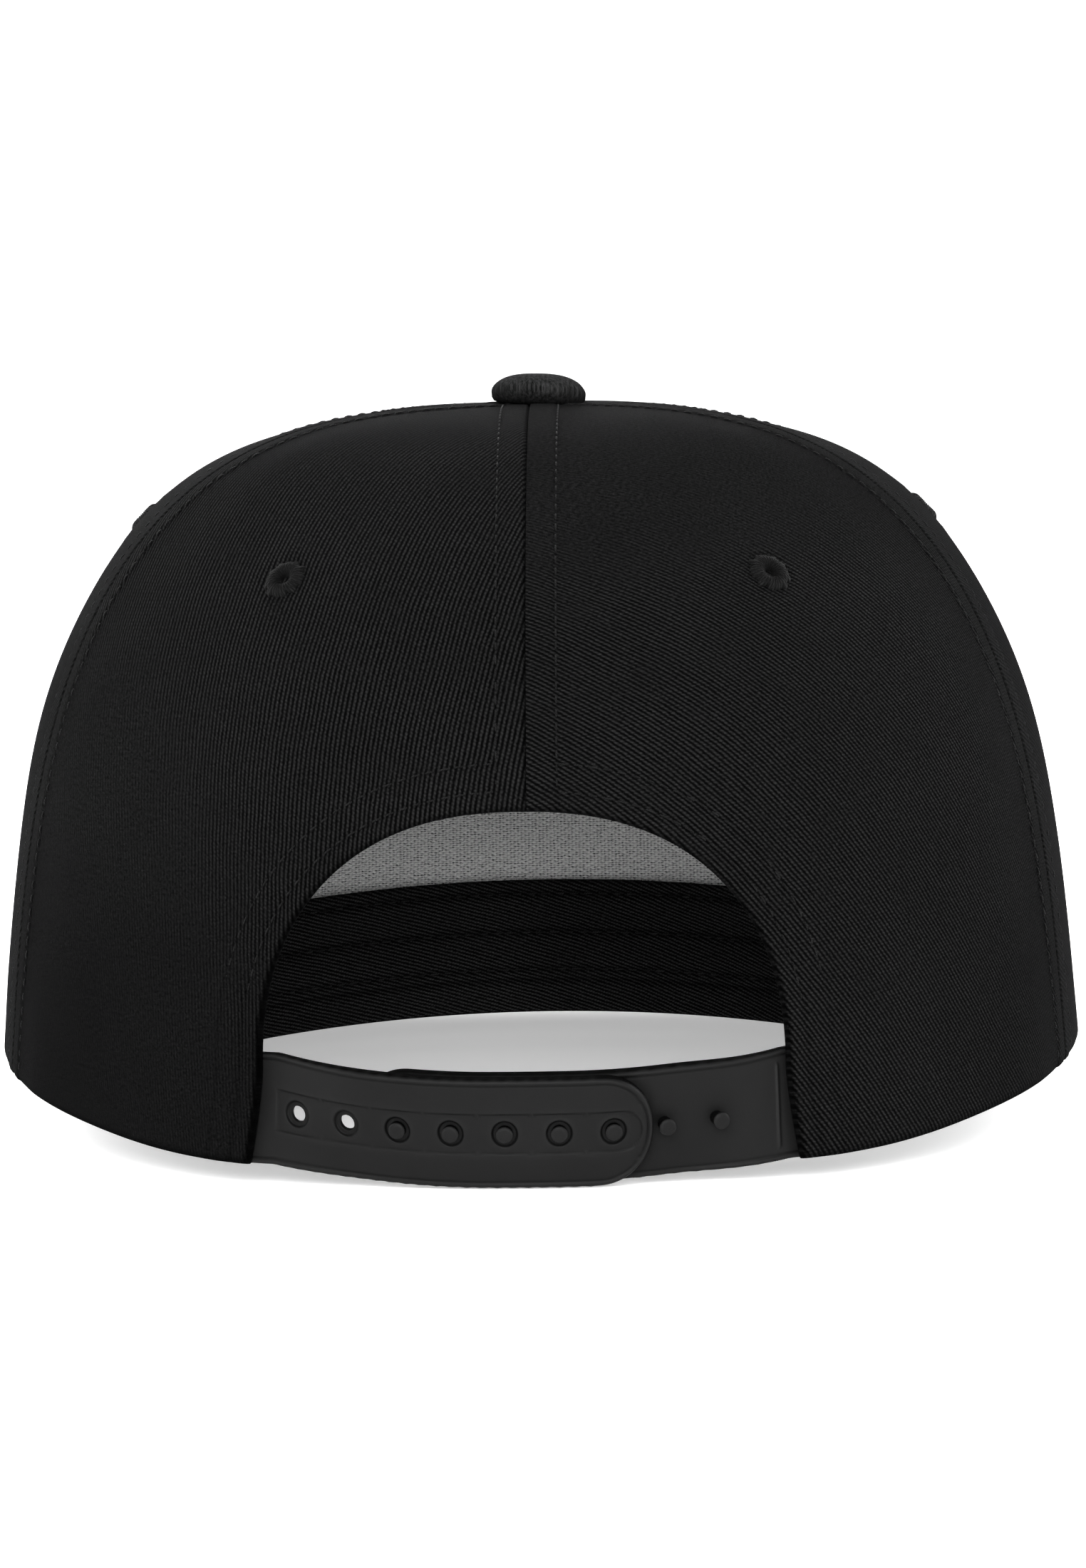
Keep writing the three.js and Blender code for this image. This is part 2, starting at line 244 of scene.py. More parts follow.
def frame_at(point, azimuth, height, *more):
    """A surface's steps along and up, for each degree or mm, and its outward normal."""
    def step(a, h):
        ahead = point(azimuth + a, height + h, *more)
        return (ahead - point(azimuth - a, height - h, *more)) / (2 * FRAME_STEP)

    along, up = step(FRAME_STEP, 0), step(0, FRAME_STEP)
    return along, up, unit(np.cross(along, up))


# ---- Meshes ----


def keep(obj, nodes=()):
    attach(obj, "root")
    if nodes:
        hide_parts(*nodes)
    return obj


def to_metres(points):
    return (np.asarray(points, float) + np.array([0.0, CENTRE_Y, 0.0])) * MM


def link_mesh(name, points, faces, material):
    """A smooth mesh object from points in metres."""
    mesh = bpy.data.meshes.new(name)
    mesh.from_pydata(points.tolist(), [], [list(map(int, f)) for f in faces])
    mesh.update()
    mesh.polygons.foreach_set("use_smooth", np.ones(len(mesh.polygons), dtype=bool))
    mesh.materials.append(material)
    obj = bpy.data.objects.new(name, mesh)
    bpy.context.scene.collection.objects.link(obj)
    return obj


def add_piece(name, slot, nodes, points, faces, uv, material, **values):
    """A piece from crown points in mm, with UVs in mm and named values by point."""
    obj = link_mesh(name, to_metres(points), faces, material)
    mesh = obj.data
    layer = mesh.uv_layers.new(name="cloth")
    index = np.empty(len(mesh.loops), dtype=np.int64)
    mesh.loops.foreach_get("vertex_index", index)
    layer.data.foreach_set("uv", np.asarray(uv, float)[index].astype(np.float32).ravel())
    for key, value in values.items():
        attribute = mesh.attributes.new(key, "FLOAT", "POINT")
        attribute.data.foreach_set("value", np.asarray(value, np.float32).ravel())
    return keep(obj, nodes)


def grid_faces(rows, columns, start=0):
    i, j = np.meshgrid(np.arange(rows - 1), np.arange(columns - 1), indexing="ij")
    a = (start + i * columns + j).ravel()
    return np.stack([a, a + columns, a + columns + 1, a + 1], -1)


def tube_faces(rings, segments):
    """Faces between rings of points, then one over the first ring and one over the last."""
    i, k = np.meshgrid(np.arange(rings - 1), np.arange(segments), indexing="ij")
    a, b = i * segments + k, i * segments + (k + 1) % segments
    faces = np.stack([a, b, b + segments, a + segments], -1).reshape(-1, 4).tolist()
    return [*faces, [*range(segments)][::-1], [*range((rings - 1) * segments, rings * segments)]]


def closed_sheet(outer, inner):
    """Points and faces of a closed sheet between two grids of the same shape."""
    rows, columns = outer.shape[:2]
    count = rows * columns
    points = np.concatenate([outer.reshape(-1, 3), inner.reshape(-1, 3)])
    top = grid_faces(rows, columns)
    bottom = grid_faces(rows, columns, count)[:, ::-1]
    loop = np.concatenate([
        np.arange(columns),
        np.arange(1, rows) * columns + columns - 1,
        (rows - 1) * columns + np.arange(columns - 2, -1, -1),
        np.arange(rows - 2, 0, -1) * columns,
    ])
    after = np.roll(loop, -1)
    side = np.stack([loop, after, after + count, loop + count], -1)
    faces = np.concatenate([top, bottom, side])
    a, b, c = (points[top[:, k]] for k in range(3))
    away = a - points[top[:, 0] + count]
    if (np.cross(b - a, c - a) * away).sum() < 0:
        faces = faces[:, ::-1]
    return points, faces


def sheet_piece(name, slot, node, outer, inner, uv, material, **values):
    """A closed sheet; each value is for both faces, or a pair of values for the two."""
    points, faces = closed_sheet(outer, inner)
    shape = (2, *outer.shape[:2])
    both = {key: np.broadcast_to(value, shape) for key, value in values.items()}
    uv = np.broadcast_to(uv, (*shape, 2)).reshape(-1, 2)
    return add_piece(name, slot, [node], points, faces, uv, material, **both)


def joined(parts):
    """Points, faces and UVs of several meshes as one."""
    faces, start = [], 0
    for points, own, _ in parts:
        faces += [[v + start for v in face] for face in own]
        start += len(points)
    return (np.concatenate([part[0] for part in parts]), faces,
            np.concatenate([part[2] for part in parts]))


def clustered(count, strength=0.75):
    """Shares from 0 to 1, closer together at both ends."""
    t = np.linspace(0, 1, count)
    return lerp(t, (1 - np.cos(np.pi * t)) / 2, strength)


def mirror(points, side):
    return points * np.array([side, 1.0, 1.0])


def distance_to(points, path, chunk=2000):
    """Each point's distance from the nearest point of a path."""
    flat = points.reshape(-1, points.shape[-1])
    near = [np.sqrt(((flat[k:k + chunk, None] - path) ** 2).sum(-1).min(1))
            for k in range(0, len(flat), chunk)]
    return np.concatenate(near).reshape(points.shape[:-1])


# ---- Materials ----


class Nodes:
    """A short way to build one material's node tree."""

    def __init__(self, name):
        self.material = bpy.data.materials.new(name)
        self.material.use_nodes = True
        self.tree = self.material.node_tree
        self.shader = self.tree.nodes["Principled BSDF"]

    def add(self, kind, inputs=None, **settings):
        node = self.tree.nodes.new(kind)
        for key, value in settings.items():
            setattr(node, key, value)
        for key, value in (inputs or {}).items():
            socket = node.inputs[key]
            if isinstance(value, bpy.types.NodeSocket):
                self.tree.links.new(value, socket)
            else:
                socket.default_value = value
        return node

    def cloth(self):
        """The UV, and its two mm values."""
        uv = self.add("ShaderNodeUVMap", uv_map="cloth").outputs["UV"]
        spread = self.add("ShaderNodeSeparateXYZ", {"Vector": uv})
        return uv, spread.outputs["X"], spread.outputs["Y"]

    def place(self):
        return self.add("ShaderNodeTexCoord").outputs["Object"]

    def value(self, name):
        return self.add("ShaderNodeAttribute", attribute_name=name).outputs["Fac"]

    def math(self, operation, *values):
        return self.add("ShaderNodeMath", dict(enumerate(values)), operation=operation).outputs[0]

    def plus(self, a, b):
        return self.math("ADD", a, b)

    def times(self, a, b):
        return self.math("MULTIPLY", a, b)

    def scaled(self, value, gain, start):
        return self.math("MULTIPLY_ADD", value, gain, start)

    def swing(self, value, gain):
        """A value from 0 to 1 as a swing to both sides of nothing."""
        return self.times(self.math("SUBTRACT", value, 0.5), gain)

    def wave(self, value, pitch):
        """A sine from 0 to 1 of a value in mm."""
        turned = self.times(value, 2 * math.pi / pitch)
        return self.scaled(self.math("SINE", turned), 0.5, 0.5)

    def noise(self, vector, scale, detail=2.0, roughness=0.5):
        inputs = {"Vector": vector, "Scale": scale, "Detail": detail, "Roughness": roughness}
        return self.add("ShaderNodeTexNoise", inputs).outputs["Fac"]

    def stretched(self, vector, scale):
        return self.add("ShaderNodeMapping", {"Vector": vector, "Scale": scale}).outputs["Vector"]

    def ramp(self, value, low, high, out_low=0.0, out_high=1.0):
        inputs = {"Value": value, "From Min": low, "From Max": high, "To Min": out_low,
                  "To Max": out_high}
        return self.add("ShaderNodeMapRange", inputs).outputs["Result"]

    def mix(self, share, a, b, **settings):
        inputs = {0: share, 6: a, 7: b}
        return self.add("ShaderNodeMix", inputs, data_type="RGBA", **settings).outputs[2]

    def as_grey(self, value):
        inputs = {"Red": value, "Green": value, "Blue": value}
        return self.add("ShaderNodeCombineColor", inputs).outputs[0]

    def set(self, **values):
        for key, value in values.items():
            self.shader.inputs[key.replace("_", " ")].default_value = value

    def link(self, output, name):
        self.tree.links.new(output, self.shader.inputs[name])

    def rough(self, value, least, most, span=(0.3, 0.7)):
        self.link(self.ramp(value, *span, least, most), "Roughness")

    def bump(self, height, distance, strength=1.0):
        inputs = {"Height": height, "Distance": distance, "Strength": strength}
        self.link(self.add("ShaderNodeBump", inputs).outputs["Normal"], "Normal")


def grey(value, warm=0.0):
    return (value * (1 + warm), value, value * (1 - warm), 1.0)


# Twill, in mm: how far its ribs wander over long and short runs; its yarns' lean and pitch share
RIB_DRIFT = 0.9
RIB_JITTER = 0.3
YARN_LEAN = 0.62
YARN_SHARE = 0.8
MOST_BRUSHED = 0.9
BRUSHED_LEVEL = 0.42
TWILL_DARK = grey(0.0004)
LINT = grey(0.025)
SHEEN_TINT = (0.82, 0.84, 0.88, 1)


def twill_material(name, light, pitch=TWILL_PITCH, sheen=0.003):
    """Twill: x of the UV runs across the ribs and y along them, both in mm.

    The value shade darkens folds and seams as painted shade and lightens some panels as painted
    light, and nap turns the ribs to brushed fibre.
    """
    n = Nodes(name)
    uv, across, along = n.cloth()
    across = n.plus(across, n.swing(n.noise(uv, 0.07), RIB_DRIFT))
    across = n.plus(across, n.swing(n.noise(uv, 1.7), RIB_JITTER))
    yarn = n.wave(n.plus(along, n.times(across, YARN_LEAN)), pitch * YARN_SHARE)
    body = n.times(n.wave(across, pitch), n.scaled(yarn, 0.45, 0.55))
    cloud = n.ramp(n.noise(uv, 0.16, 3.0), 0.35, 0.75, -0.1, 0.35)
    brushed = n.times(n.plus(n.value("nap"), cloud), 0.85)
    brushed = n.math("MINIMUM", n.math("MAXIMUM", brushed, 0.0), MOST_BRUSHED)
    ribs = n.plus(n.times(body, n.math("SUBTRACT", 1.0, brushed)),
                  n.times(brushed, BRUSHED_LEVEL))
    fuzz = n.noise(uv, 1.9, 6.0, 0.85)
    hair = n.swing(fuzz, n.scaled(brushed, 1.4, 1.5))
    share = n.math("POWER", n.ramp(n.plus(ribs, hair), 0.05, 0.95), 1.35)
    lint = n.ramp(n.noise(uv, 1.9, 2.0, 0.4), 0.79, 0.82)
    colour = n.mix(n.times(lint, 0.3), n.mix(share, TWILL_DARK, light), LINT)
    patch = n.ramp(n.noise(n.place(), 24.0, 4.0, 0.55), 0.3, 0.7, 0.84, 1.18)
    # tone: a random patchy tone times the value shade, the painted light and shade
    tone = n.as_grey(n.times(patch, n.value("shade")))
    n.link(n.mix(1.0, colour, tone, blend_type="MULTIPLY"), "Base Color")
    n.rough(fuzz, 0.84, 0.98)
    n.set(Specular_IOR_Level=0.006, Sheen_Weight=sheen, Sheen_Roughness=0.5,
          Sheen_Tint=SHEEN_TINT)
    n.bump(n.plus(n.times(ribs, 0.85), n.times(hair, 0.7)), 0.0002)
    return n.material


PLY_PITCH = 0.42


def thread_material(name, colour):
    n = Nodes(name)
    _, across, along = n.cloth()
    ply = n.wave(n.plus(across, n.times(along, 0.5)), PLY_PITCH)
    fuzz = n.noise(n.place(), 5200.0)
    # The value shade holds painted shade in the eyelets' holes and the stitches' uneven tone
    tone = n.times(n.scaled(ply, 1.1, 0.45), n.value("shade"))
    n.link(n.as_grey(n.times(tone, colour)), "Base Color")
    n.rough(fuzz, 0.55, 0.8)
    n.set(Specular_IOR_Level=0.05, Sheen_Weight=0.01)
    n.bump(n.plus(ply, n.times(fuzz, 0.4)), 0.00006, 0.8)
    return n.material


WARP_PITCH = 0.77
WEFT_PITCH = 0.4


def buckram_material(name):
    """An open plain weave: x and y of the UV are mm across and up."""
    n = Nodes(name)
    uv, across, up = n.cloth()
    shift = n.swing(n.noise(uv, 0.8), 0.5)
    across, up = n.plus(across, shift), n.plus(up, shift)
    warp, weft = n.wave(across, WARP_PITCH), n.wave(up, WEFT_PITCH)
    over = n.times(n.math("SINE", n.times(across, math.pi / WARP_PITCH)),
                   n.math("SINE", n.times(up, math.pi / WEFT_PITCH)))
    fuzz = n.noise(uv, 3.0, 3.0, 0.6)
    thread = n.times(warp, weft)
    slit = n.math("POWER", n.math("SUBTRACT", 1.0, weft), 2.0)
    slit = n.times(slit, n.scaled(warp, -0.75, 1.0))
    loose = n.noise(n.stretched(uv, (0.8, 2.4, 1.0)), 1.0)
    slit = n.times(slit, n.ramp(loose, 0.42, 0.62, 0.15, 1.3))
    share = n.scaled(thread, 0.3, n.scaled(slit, -0.8, 0.68))
    share = n.plus(n.scaled(over, 0.2, share), n.swing(fuzz, 0.35))
    share = n.math("MAXIMUM", share, 0.0)
    n.link(n.mix(share, grey(0.01), grey(0.66, 0.004)), "Base Color")
    n.rough(fuzz, 0.75, 0.95)
    n.set(Specular_IOR_Level=0.2)
    n.bump(n.plus(thread, n.times(fuzz, 0.3)), 0.00025, 0.9)
    return n.material


def plastic_material(name, colour):
    n = Nodes(name)
    place_m = n.place()
    grain = n.noise(place_m, 2600.0, 3.0, 0.6)
    cloud = n.noise(place_m, 90.0, 3.0)
    lines = n.noise(n.stretched(place_m, (40.0, 40.0, 2600.0)), 1.0, 2.0, 0.7)
    # tone: a random cloud times the value shade, the painted shade and highlights of the moulding
    tone = n.times(n.scaled(cloud, 0.35, 0.85), n.value("shade"))
    n.link(n.as_grey(n.times(tone, colour)), "Base Color")
    n.rough(n.plus(cloud, n.times(lines, 0.4)), 0.42, 0.58, span=(0.4, 1.1))
    n.set(Specular_IOR_Level=0.045)
    n.bump(n.plus(grain, n.times(lines, 0.3)), 0.000025, 0.6)
    return n.material


crown_twill = twill_material("crown_twill", grey(0.0119))
brim_twill = twill_material("brim_twill", grey(0.0125))
band_twill = twill_material("band_twill", grey(0.029), pitch=0.64, sheen=0.006)
seam_thread = thread_material("seam_thread", 0.0038)
buckram = buckram_material("buckram")
strap_plastic = plastic_material("strap_plastic", 0.005)

# ---- Stitches ----

# Rings of a stitch: place as a share of its half length, height in mm, share of its radius
STITCH_RINGS = ((-1.0, -0.30, 0.45), (-0.72, 0.06, 0.9), (0.0, 0.16, 1.0), (0.72, 0.06, 0.9),
                (1.0, -0.30, 0.45))
STITCH_SIDES = 6
STITCH_SPREAD = 1.15
STITCH_REACH = 0.2


def path_lengths(points):
    return np.concatenate([[0], np.cumsum(np.linalg.norm(np.diff(points, axis=0), axis=1))])


def read_along(at, lengths, values):
    return np.stack([np.interp(at, lengths, values[:, k]) for k in range(3)], -1)


def stitch_row(points, normals, pitch=STITCH_PITCH, length=STITCH_LENGTH):
    """Vertices, faces and UVs of one row of stitches along a path on the cloth."""
    lengths = path_lengths(points)
    at = pitch * (np.arange(max(int(lengths[-1] / pitch), 1)) + 0.5)
    at = at[at < lengths[-1]]
    centres = read_along(at, lengths, points)
    normal = unit(read_along(at, lengths, normals))
    tangent = unit(read_along(at + STITCH_REACH, lengths, points)
                   - read_along(at - STITCH_REACH, lengths, points))
    side = unit(np.cross(normal, tangent))
    rings, uvs = [], []
    for share, lift, size in STITCH_RINGS:
        for k in range(STITCH_SIDES):
            turn = 2 * math.pi * k / STITCH_SIDES
            rings.append(
                centres
                + tangent * (share * length / 2)
                + normal * (lift + STITCH_RADIUS * size * math.sin(turn))
                + side * (STITCH_RADIUS * STITCH_SPREAD * size * math.cos(turn))
            )
            uvs.append((share * length / 2, turn / math.pi))
    faces = tube_faces(len(STITCH_RINGS), STITCH_SIDES)
    faces = [[v + len(uvs) * i for v in face] for i in range(len(at)) for face in faces]
    return np.stack(rings, 1).reshape(-1, 3), faces, np.tile(np.array(uvs), (len(at), 1))


def stitches(name, rows, tone=1.0, **sizes):
    """One piece with every row, each a path on the cloth and its normals."""
    points, faces, uvs = joined([stitch_row(*row, **sizes) for row in rows])
    stitch = np.arange(len(points)) // (len(STITCH_RINGS) * STITCH_SIDES)
    uneven = 0.8 + 0.35 * np.sin(stitch * 2.4) * np.sin(stitch * 0.37 + 1)
    return add_piece(name, "thread", [], points, faces, uvs, seam_thread, shade=tone * uneven)


# ---- Crown panels ----

TOP_CLIMB = math.degrees(math.acos(TIP_RADIUS / HALF_WIDTH))
SPANS = {"rear": (0.0, SIDE_SEAM), "side": (SIDE_SEAM, FRONT_SEAM), "front": (FRONT_SEAM, 180.0)}
SIDES = {"left": -1, "right": 1}

# The twill's lean on each panel, in degrees from level, rising towards the photo's right
TWILL_ANGLE = {
    ("rear", "left"): 94.0, ("rear", "right"): -50.0,
    ("side", "left"): 60.0, ("side", "right"): -35.0,
    ("front", "left"): 50.0, ("front", "right"): 50.0,
}

# How the ribs run on the rear panels, where the cloth is eased over the crown: shares of the
# powers of the place across and up the panel, in steps of TWILL_STEP mm
TWILL_STEP = 50.0
TWILL_POWERS = ((1, 0), (0, 1), (2, 0), (1, 1), (0, 2), (3, 0), (2, 1), (1, 2), (0, 3))
TWILL_EASE = {
    ("rear", "left"): (67.4, 10.6, -1.2, -19.7, -0.7, -1.9, 2.3, 4.9, -0.5),
    ("rear", "right"): (-43.3, -30.7, -3.4, -3.5, 1.2, -0.5, -4.0, 2.8, -1.2),
}


def opening_edge(height):
    """Half the opening's width at a height, which grows below its shoulder."""
    below = np.maximum((OPENING_SHOULDER - height) / OPENING_SHOULDER, 0)
    return OPENING_HALF_WIDTH + OPENING_FLARE * below**1.4


ARCH_POINTS = 120


def arch_curve(side):
    """Azimuths and climbs of a side's edge of the opening, from its top to the hem corner."""
    turn = np.linspace(-0.3, np.pi / 2, ARCH_POINTS * 4)
    power = 2 / OPENING_ROUNDNESS
    x = OPENING_HALF_WIDTH * np.sign(turn) * np.abs(np.sin(turn)) ** power
    z = OPENING_SHOULDER + (OPENING_TOP - OPENING_SHOULDER) * np.cos(turn) ** power
    drop = np.linspace(OPENING_SHOULDER, HEM_LIFT, ARCH_POINTS)[1:]
    x = np.concatenate([x, opening_edge(drop)]) - side * OPENING_SHIFT
    z = np.concatenate([z, drop])
    first = int(np.argmax(x > 0))
    z_middle = np.interp(0, x[first - 1:first + 1], z[first - 1:first + 1])
    x = np.concatenate([[0], x[first:]])
    z = np.concatenate([[z_middle], z[first:]])
    azimuth = np.degrees(np.arcsin(x / HALF_WIDTH))
    for _ in range(12):
        around = wall_point(azimuth, z, 0)[:, 1] / REAR_REACH
        spread = around / np.cos(np.radians(azimuth))
        azimuth = np.degrees(np.arcsin(np.clip(x / (HALF_WIDTH * spread), 0, 1)))
    climb = climb_at(azimuth, z)
    climb[-1] = 0.0
    return azimuth, climb


def resampled(azimuth, climb, shares):
    """The same curve at equal shares of its real length."""
    length = path_lengths(crown_point(azimuth, climb))
    at = shares * length[-1]
    return np.interp(at, length, azimuth), np.interp(at, length, climb)


ARCHES = {side: arch_curve(side) for side in SIDES.values()}


def to_chart(azimuth, climb):
    """A flat chart with the tip at its middle, in degrees."""
    around = np.radians(azimuth)
    return np.stack([(90 - climb) * np.sin(around), (90 - climb) * np.cos(around)], -1)


def from_chart(points):
    x, y = points[..., 0], points[..., 1]
    return np.degrees(np.arctan2(x, y)), 90 - np.hypot(x, y)


SEAM_TURN = 1.5
PANEL_CELLS = 130


def seam_to_tip(azimuth, climbs, tip_azimuth):
    """A seam that turns to the panel's own tip in its last degrees, under the button."""
    turn = past(climbs, TOP_CLIMB - SEAM_TURN, SEAM_TURN)
    return lerp(azimuth, tip_azimuth, turn)


def panel_grid(where, side):
    """Azimuths and climbs of a right hand panel's grid, closer together at its edges."""
    low, high = SPANS[where]
    a = b = clustered(PANEL_CELLS)
    if where != "rear":
        return np.meshgrid(low + (high - low) * b, TOP_CLIMB * a, indexing="ij")
    tip = (low + high) / 2
    falling = np.linspace(TOP_CLIMB, 0, 500)
    arch_azimuth, arch_climb = ARCHES[side]
    rising = np.linspace(arch_climb[0], TOP_CLIMB, 500)
    arch = to_chart(*resampled(arch_azimuth, arch_climb, a))
    seam = to_chart(*resampled(seam_to_tip(high, falling, tip), falling, a))
    centre = to_chart(*resampled(seam_to_tip(low, rising, tip), rising, b))
    rim = to_chart(*resampled(np.linspace(arch_azimuth[-1], high, 200), np.zeros(200), b))
    a, b = a[:, None, None], b[None, :, None]
    chart = (
        (1 - b) * arch[:, None] + b * seam[:, None] + (1 - a) * centre[None] + a * rim[None]
        - (1 - a) * (1 - b) * arch[0] - (1 - a) * b * seam[0]
        - a * (1 - b) * arch[-1] - a * b * seam[-1]
    )
    return from_chart(chart)


def panel_lengths(where):
    """Tables of the cloth's coordinates: mm along the rim from its middle, and mm up from it."""
    azimuths = np.linspace(*SPANS[where], 61)
    climbs = np.linspace(0, TOP_CLIMB, 241)
    along, up, _ = frame_at(crown_point, *np.meshgrid(azimuths, climbs, indexing="ij"))
    u = np.cumsum(np.linalg.norm(along, axis=-1) * (azimuths[1] - azimuths[0]), axis=0)
    v = np.cumsum(np.linalg.norm(up, axis=-1) * (climbs[1] - climbs[0]), axis=1)
    middle = len(azimuths) // 2
    return azimuths, climbs, u - u[middle:middle + 1], v - v[:, :1]


def looked_up(tables, azimuth, climb):
    azimuths, climbs, u, v = tables
    fa = np.clip((azimuth - azimuths[0]) / (azimuths[1] - azimuths[0]), 0, len(azimuths) - 1.001)
    fc = np.clip((climb - climbs[0]) / (climbs[1] - climbs[0]), 0, len(climbs) - 1.001)
    i, j = fa.astype(int), fc.astype(int)
    s, t = fa - i, fc - j
    return tuple(
        w[i, j] * (1 - s) * (1 - t) + w[i + 1, j] * s * (1 - t)
        + w[i, j + 1] * (1 - s) * t + w[i + 1, j + 1] * s * t
        for w in (u, v)
    )


# ---- Relief of the sewn cloth in mm, and its painted shade and light as a share of its tone ----


# Relief and painted shade humps by stitch rows, seam edges and eyelets: height, centre, width
SEAM_GROOVE = (-0.2, SEAM_ROW, 0.5)
SEAM_ROW_SHADING = (-0.13, SEAM_ROW, 0.4)
ARCH_GROOVES = ((-0.3, 0, 0.4), *((-0.14, row, 0.5) for row in ARCH_ROWS))
ARCH_SHADING = tuple((-0.13, row, 0.4) for row in ARCH_ROWS)
EYELET_PULL = ((-0.45, 0, 3.0), (0.12, 5.0, 1.4))
SEAM_LAP = 0.3
ARCH_LAP = 0.2


def seam_relief(d, dip):
    """Height of the cloth over its plain surface at a distance from a seam."""
    return SEAM_LAP * within(d, 4.3, 1.3) + marks(d, (-dip, 0, 0.36), SEAM_GROOVE)


# Painted shade in a seam's fold and along its row, and painted light on its lapped band
def seam_shade(d, dip, lit):
    band = lit * past(d, 0.5, 0.6) * within(d, 3.6, 0.9)
    return band + marks(d, (-dip, 0, 0.26), SEAM_ROW_SHADING)


def arch_relief(d):
    return ARCH_LAP * within(d, 7.9, 0.9) + marks(d, *ARCH_GROOVES)


# Painted shade along the arch's edge and its rows of stitches
def arch_shade(d):
    return marks(d, *ARCH_SHADING) - 0.6 * within(d, 0, 0.75)


def sway(points):
    """Soft unevenness of sewn cloth, the same on each run."""
    x, y, z = points[..., 0], points[..., 1], points[..., 2]
    return (
        0.46 * np.sin(x / 13.0 + z / 21.0 + 1.3) * np.sin(y / 15.0 - z / 26.0)
        + 0.24 * np.sin(x / 7.5 - z / 11.0 + 0.4) * np.sin(y / 8.5 + z / 17.0 + 2.1)
    )


def nap_of(where, side, surface):
    """How brushed the cloth is: 0 where ribs are sharp, 1 where only fibre shows."""
    x, z = np.abs(surface[..., 0]), surface[..., 2]
    if where == "rear" and side > 0:
        return 0.95 * past(z - 0.1 * x, 84, 20) + 0.3 * past(x, 66, 16)
    if where == "rear":
        far = past(x - 0.28 * z, 25, 22) * within(z, 72, 20)
        return np.clip(0.5 * past(z, 104, 14) + 0.8 * far, 0, 1)
    return 0.6 if where == "side" else 0.3


# Painted shade: the rear panels darken towards the hem, the left one more
REAR_LOW_SHADE = {-1: 0.36, 1: 0.14}
SHADE_RANGE = (0.1, 2.1)


def panel_relief(where, side, azimuth, climb):
    """Surface, normal, relief and painted shade and light of a panel, as on the right hand side.
    """
    low, high = SPANS[where]
    along, up, normal = frame_at(crown_point, azimuth, climb)
    surface = crown_point(azimuth, climb)
    x, z = surface[..., 0], surface[..., 2]
    wide = np.linalg.norm(along, axis=-1)
    rim = climb * np.linalg.norm(up, axis=-1)
    first, last = (azimuth - low) * wide, (high - azimuth) * wide
    lapped = where == "rear" and side > 0
    relief = seam_relief(first, 0.05 if lapped else 0.6) + seam_relief(last, 0.5)
    if lapped:
        relief = relief + 0.12 * within(first, 0.6, 4)
    # Painted light on the seams' bands, painted shade in their folds and along the hem
    shade = 1 + seam_shade(first, 0.1 if lapped else 0.5, 0.0 if low == 0 else 0.25)
    shade = shade + seam_shade(last, 0.5, 0.2) - 0.55 * hump(rim, 0, 0.8)
    pucker = np.sin(z / 0.9 + side) * np.sin(z / 3.7 + 1)
    near_rows = hump(first, SEAM_ROW, 2.4) + hump(last, SEAM_ROW, 2.4)
    relief = relief + 0.07 * pucker * near_rows - 0.4 * hump(rim, 0, 0.6)
    calm = np.clip(np.minimum(first, last) / 14.0, 0, 1)
    if where == "rear":
        edge = distance_to(surface, crown_point(*ARCHES[side]))
        ripple = 0.05 * np.sin(x / 1.1 + z / 1.6) * hump(edge, 5.0, 4.0)
        relief = relief + arch_relief(edge) + ripple
        # Painted shade along the arch and towards the hem
        shade = shade + arch_shade(edge) - REAR_LOW_SHADE[side] * within(z, 27, 35)
    else:
        calm = calm * past(rim, 3.0, 12.0)
    # Painted light on the side panels towards the top, painted shade on the front ones there
    if where == "side":
        shade = shade + 0.12 + 0.25 * past(climb, 30, 30)
    if where == "front":
        shade = shade - 0.15 * past(climb, 45, 20)
    eyelet_azimuth, eyelet_share = EYELETS[where]
    centre = wall_point(eyelet_azimuth, eyelet_share * CROWN_HEIGHT, 0)
    around = np.linalg.norm(surface - centre, axis=-1)
    relief = relief + sway(surface) * calm + marks(around, *EYELET_PULL)
    # Painted shade in a ring round the eyelet
    shade = shade - 0.25 * hump(around, 3.5, 0.6)
    return relief, normal, surface, np.clip(shade, *SHADE_RANGE)


def twill_uv(where, word, azimuth, climb, side):
    u, v = looked_up(panel_lengths(where), azimuth, climb)
    across = u * side
    angle = math.radians(TWILL_ANGLE[(where, word)])
    ribs = across * math.sin(angle) - v * math.cos(angle)
    if (where, word) in TWILL_EASE:
        a, b = across / TWILL_STEP, v / TWILL_STEP
        shares = zip(TWILL_EASE[where, word], TWILL_POWERS)
        ribs = sum(share * a**i * b**j for share, (i, j) in shares)
    length = across * math.cos(angle) + v * math.sin(angle)
    return np.stack([ribs, length], -1)


EDGE_TUCK = 0.5

for where in SPANS:
    for word, side in SIDES.items():
        azimuth, climb = panel_grid(where, side)
        relief, normal, surface, shade = panel_relief(where, side, azimuth, climb)
        border = np.ones(azimuth.shape, bool)
        border[1:-1, 1:-1] = False
        inner = surface - normal * (CLOTH_WALL - EDGE_TUCK * border)[..., None]
        outer = surface + normal * relief[..., None]
        sheet_piece(
            f"cloth_{where}_panel_{word}", "twill", f"{where}_panel_{word}",
            mirror(outer, side), mirror(inner, side),
            twill_uv(where, word, azimuth, climb, side), crown_twill,
            shade=np.stack([shade, np.where(border, shade, 1.0)]),
            nap=nap_of(where, side, surface))


# ---- Rows of stitches on the crown ----

SEAM_CLIMBS = np.linspace(0.6, 84.5, 300)
SEAM_LIFT = 0.05
ARCH_LIFT = 0.02


def crown_path(azimuth, climb, lift, side):
    _, _, normal = frame_at(crown_point, azimuth, climb)
    path = crown_point(azimuth, climb) + normal * lift
    return mirror(path, side), mirror(normal, side)


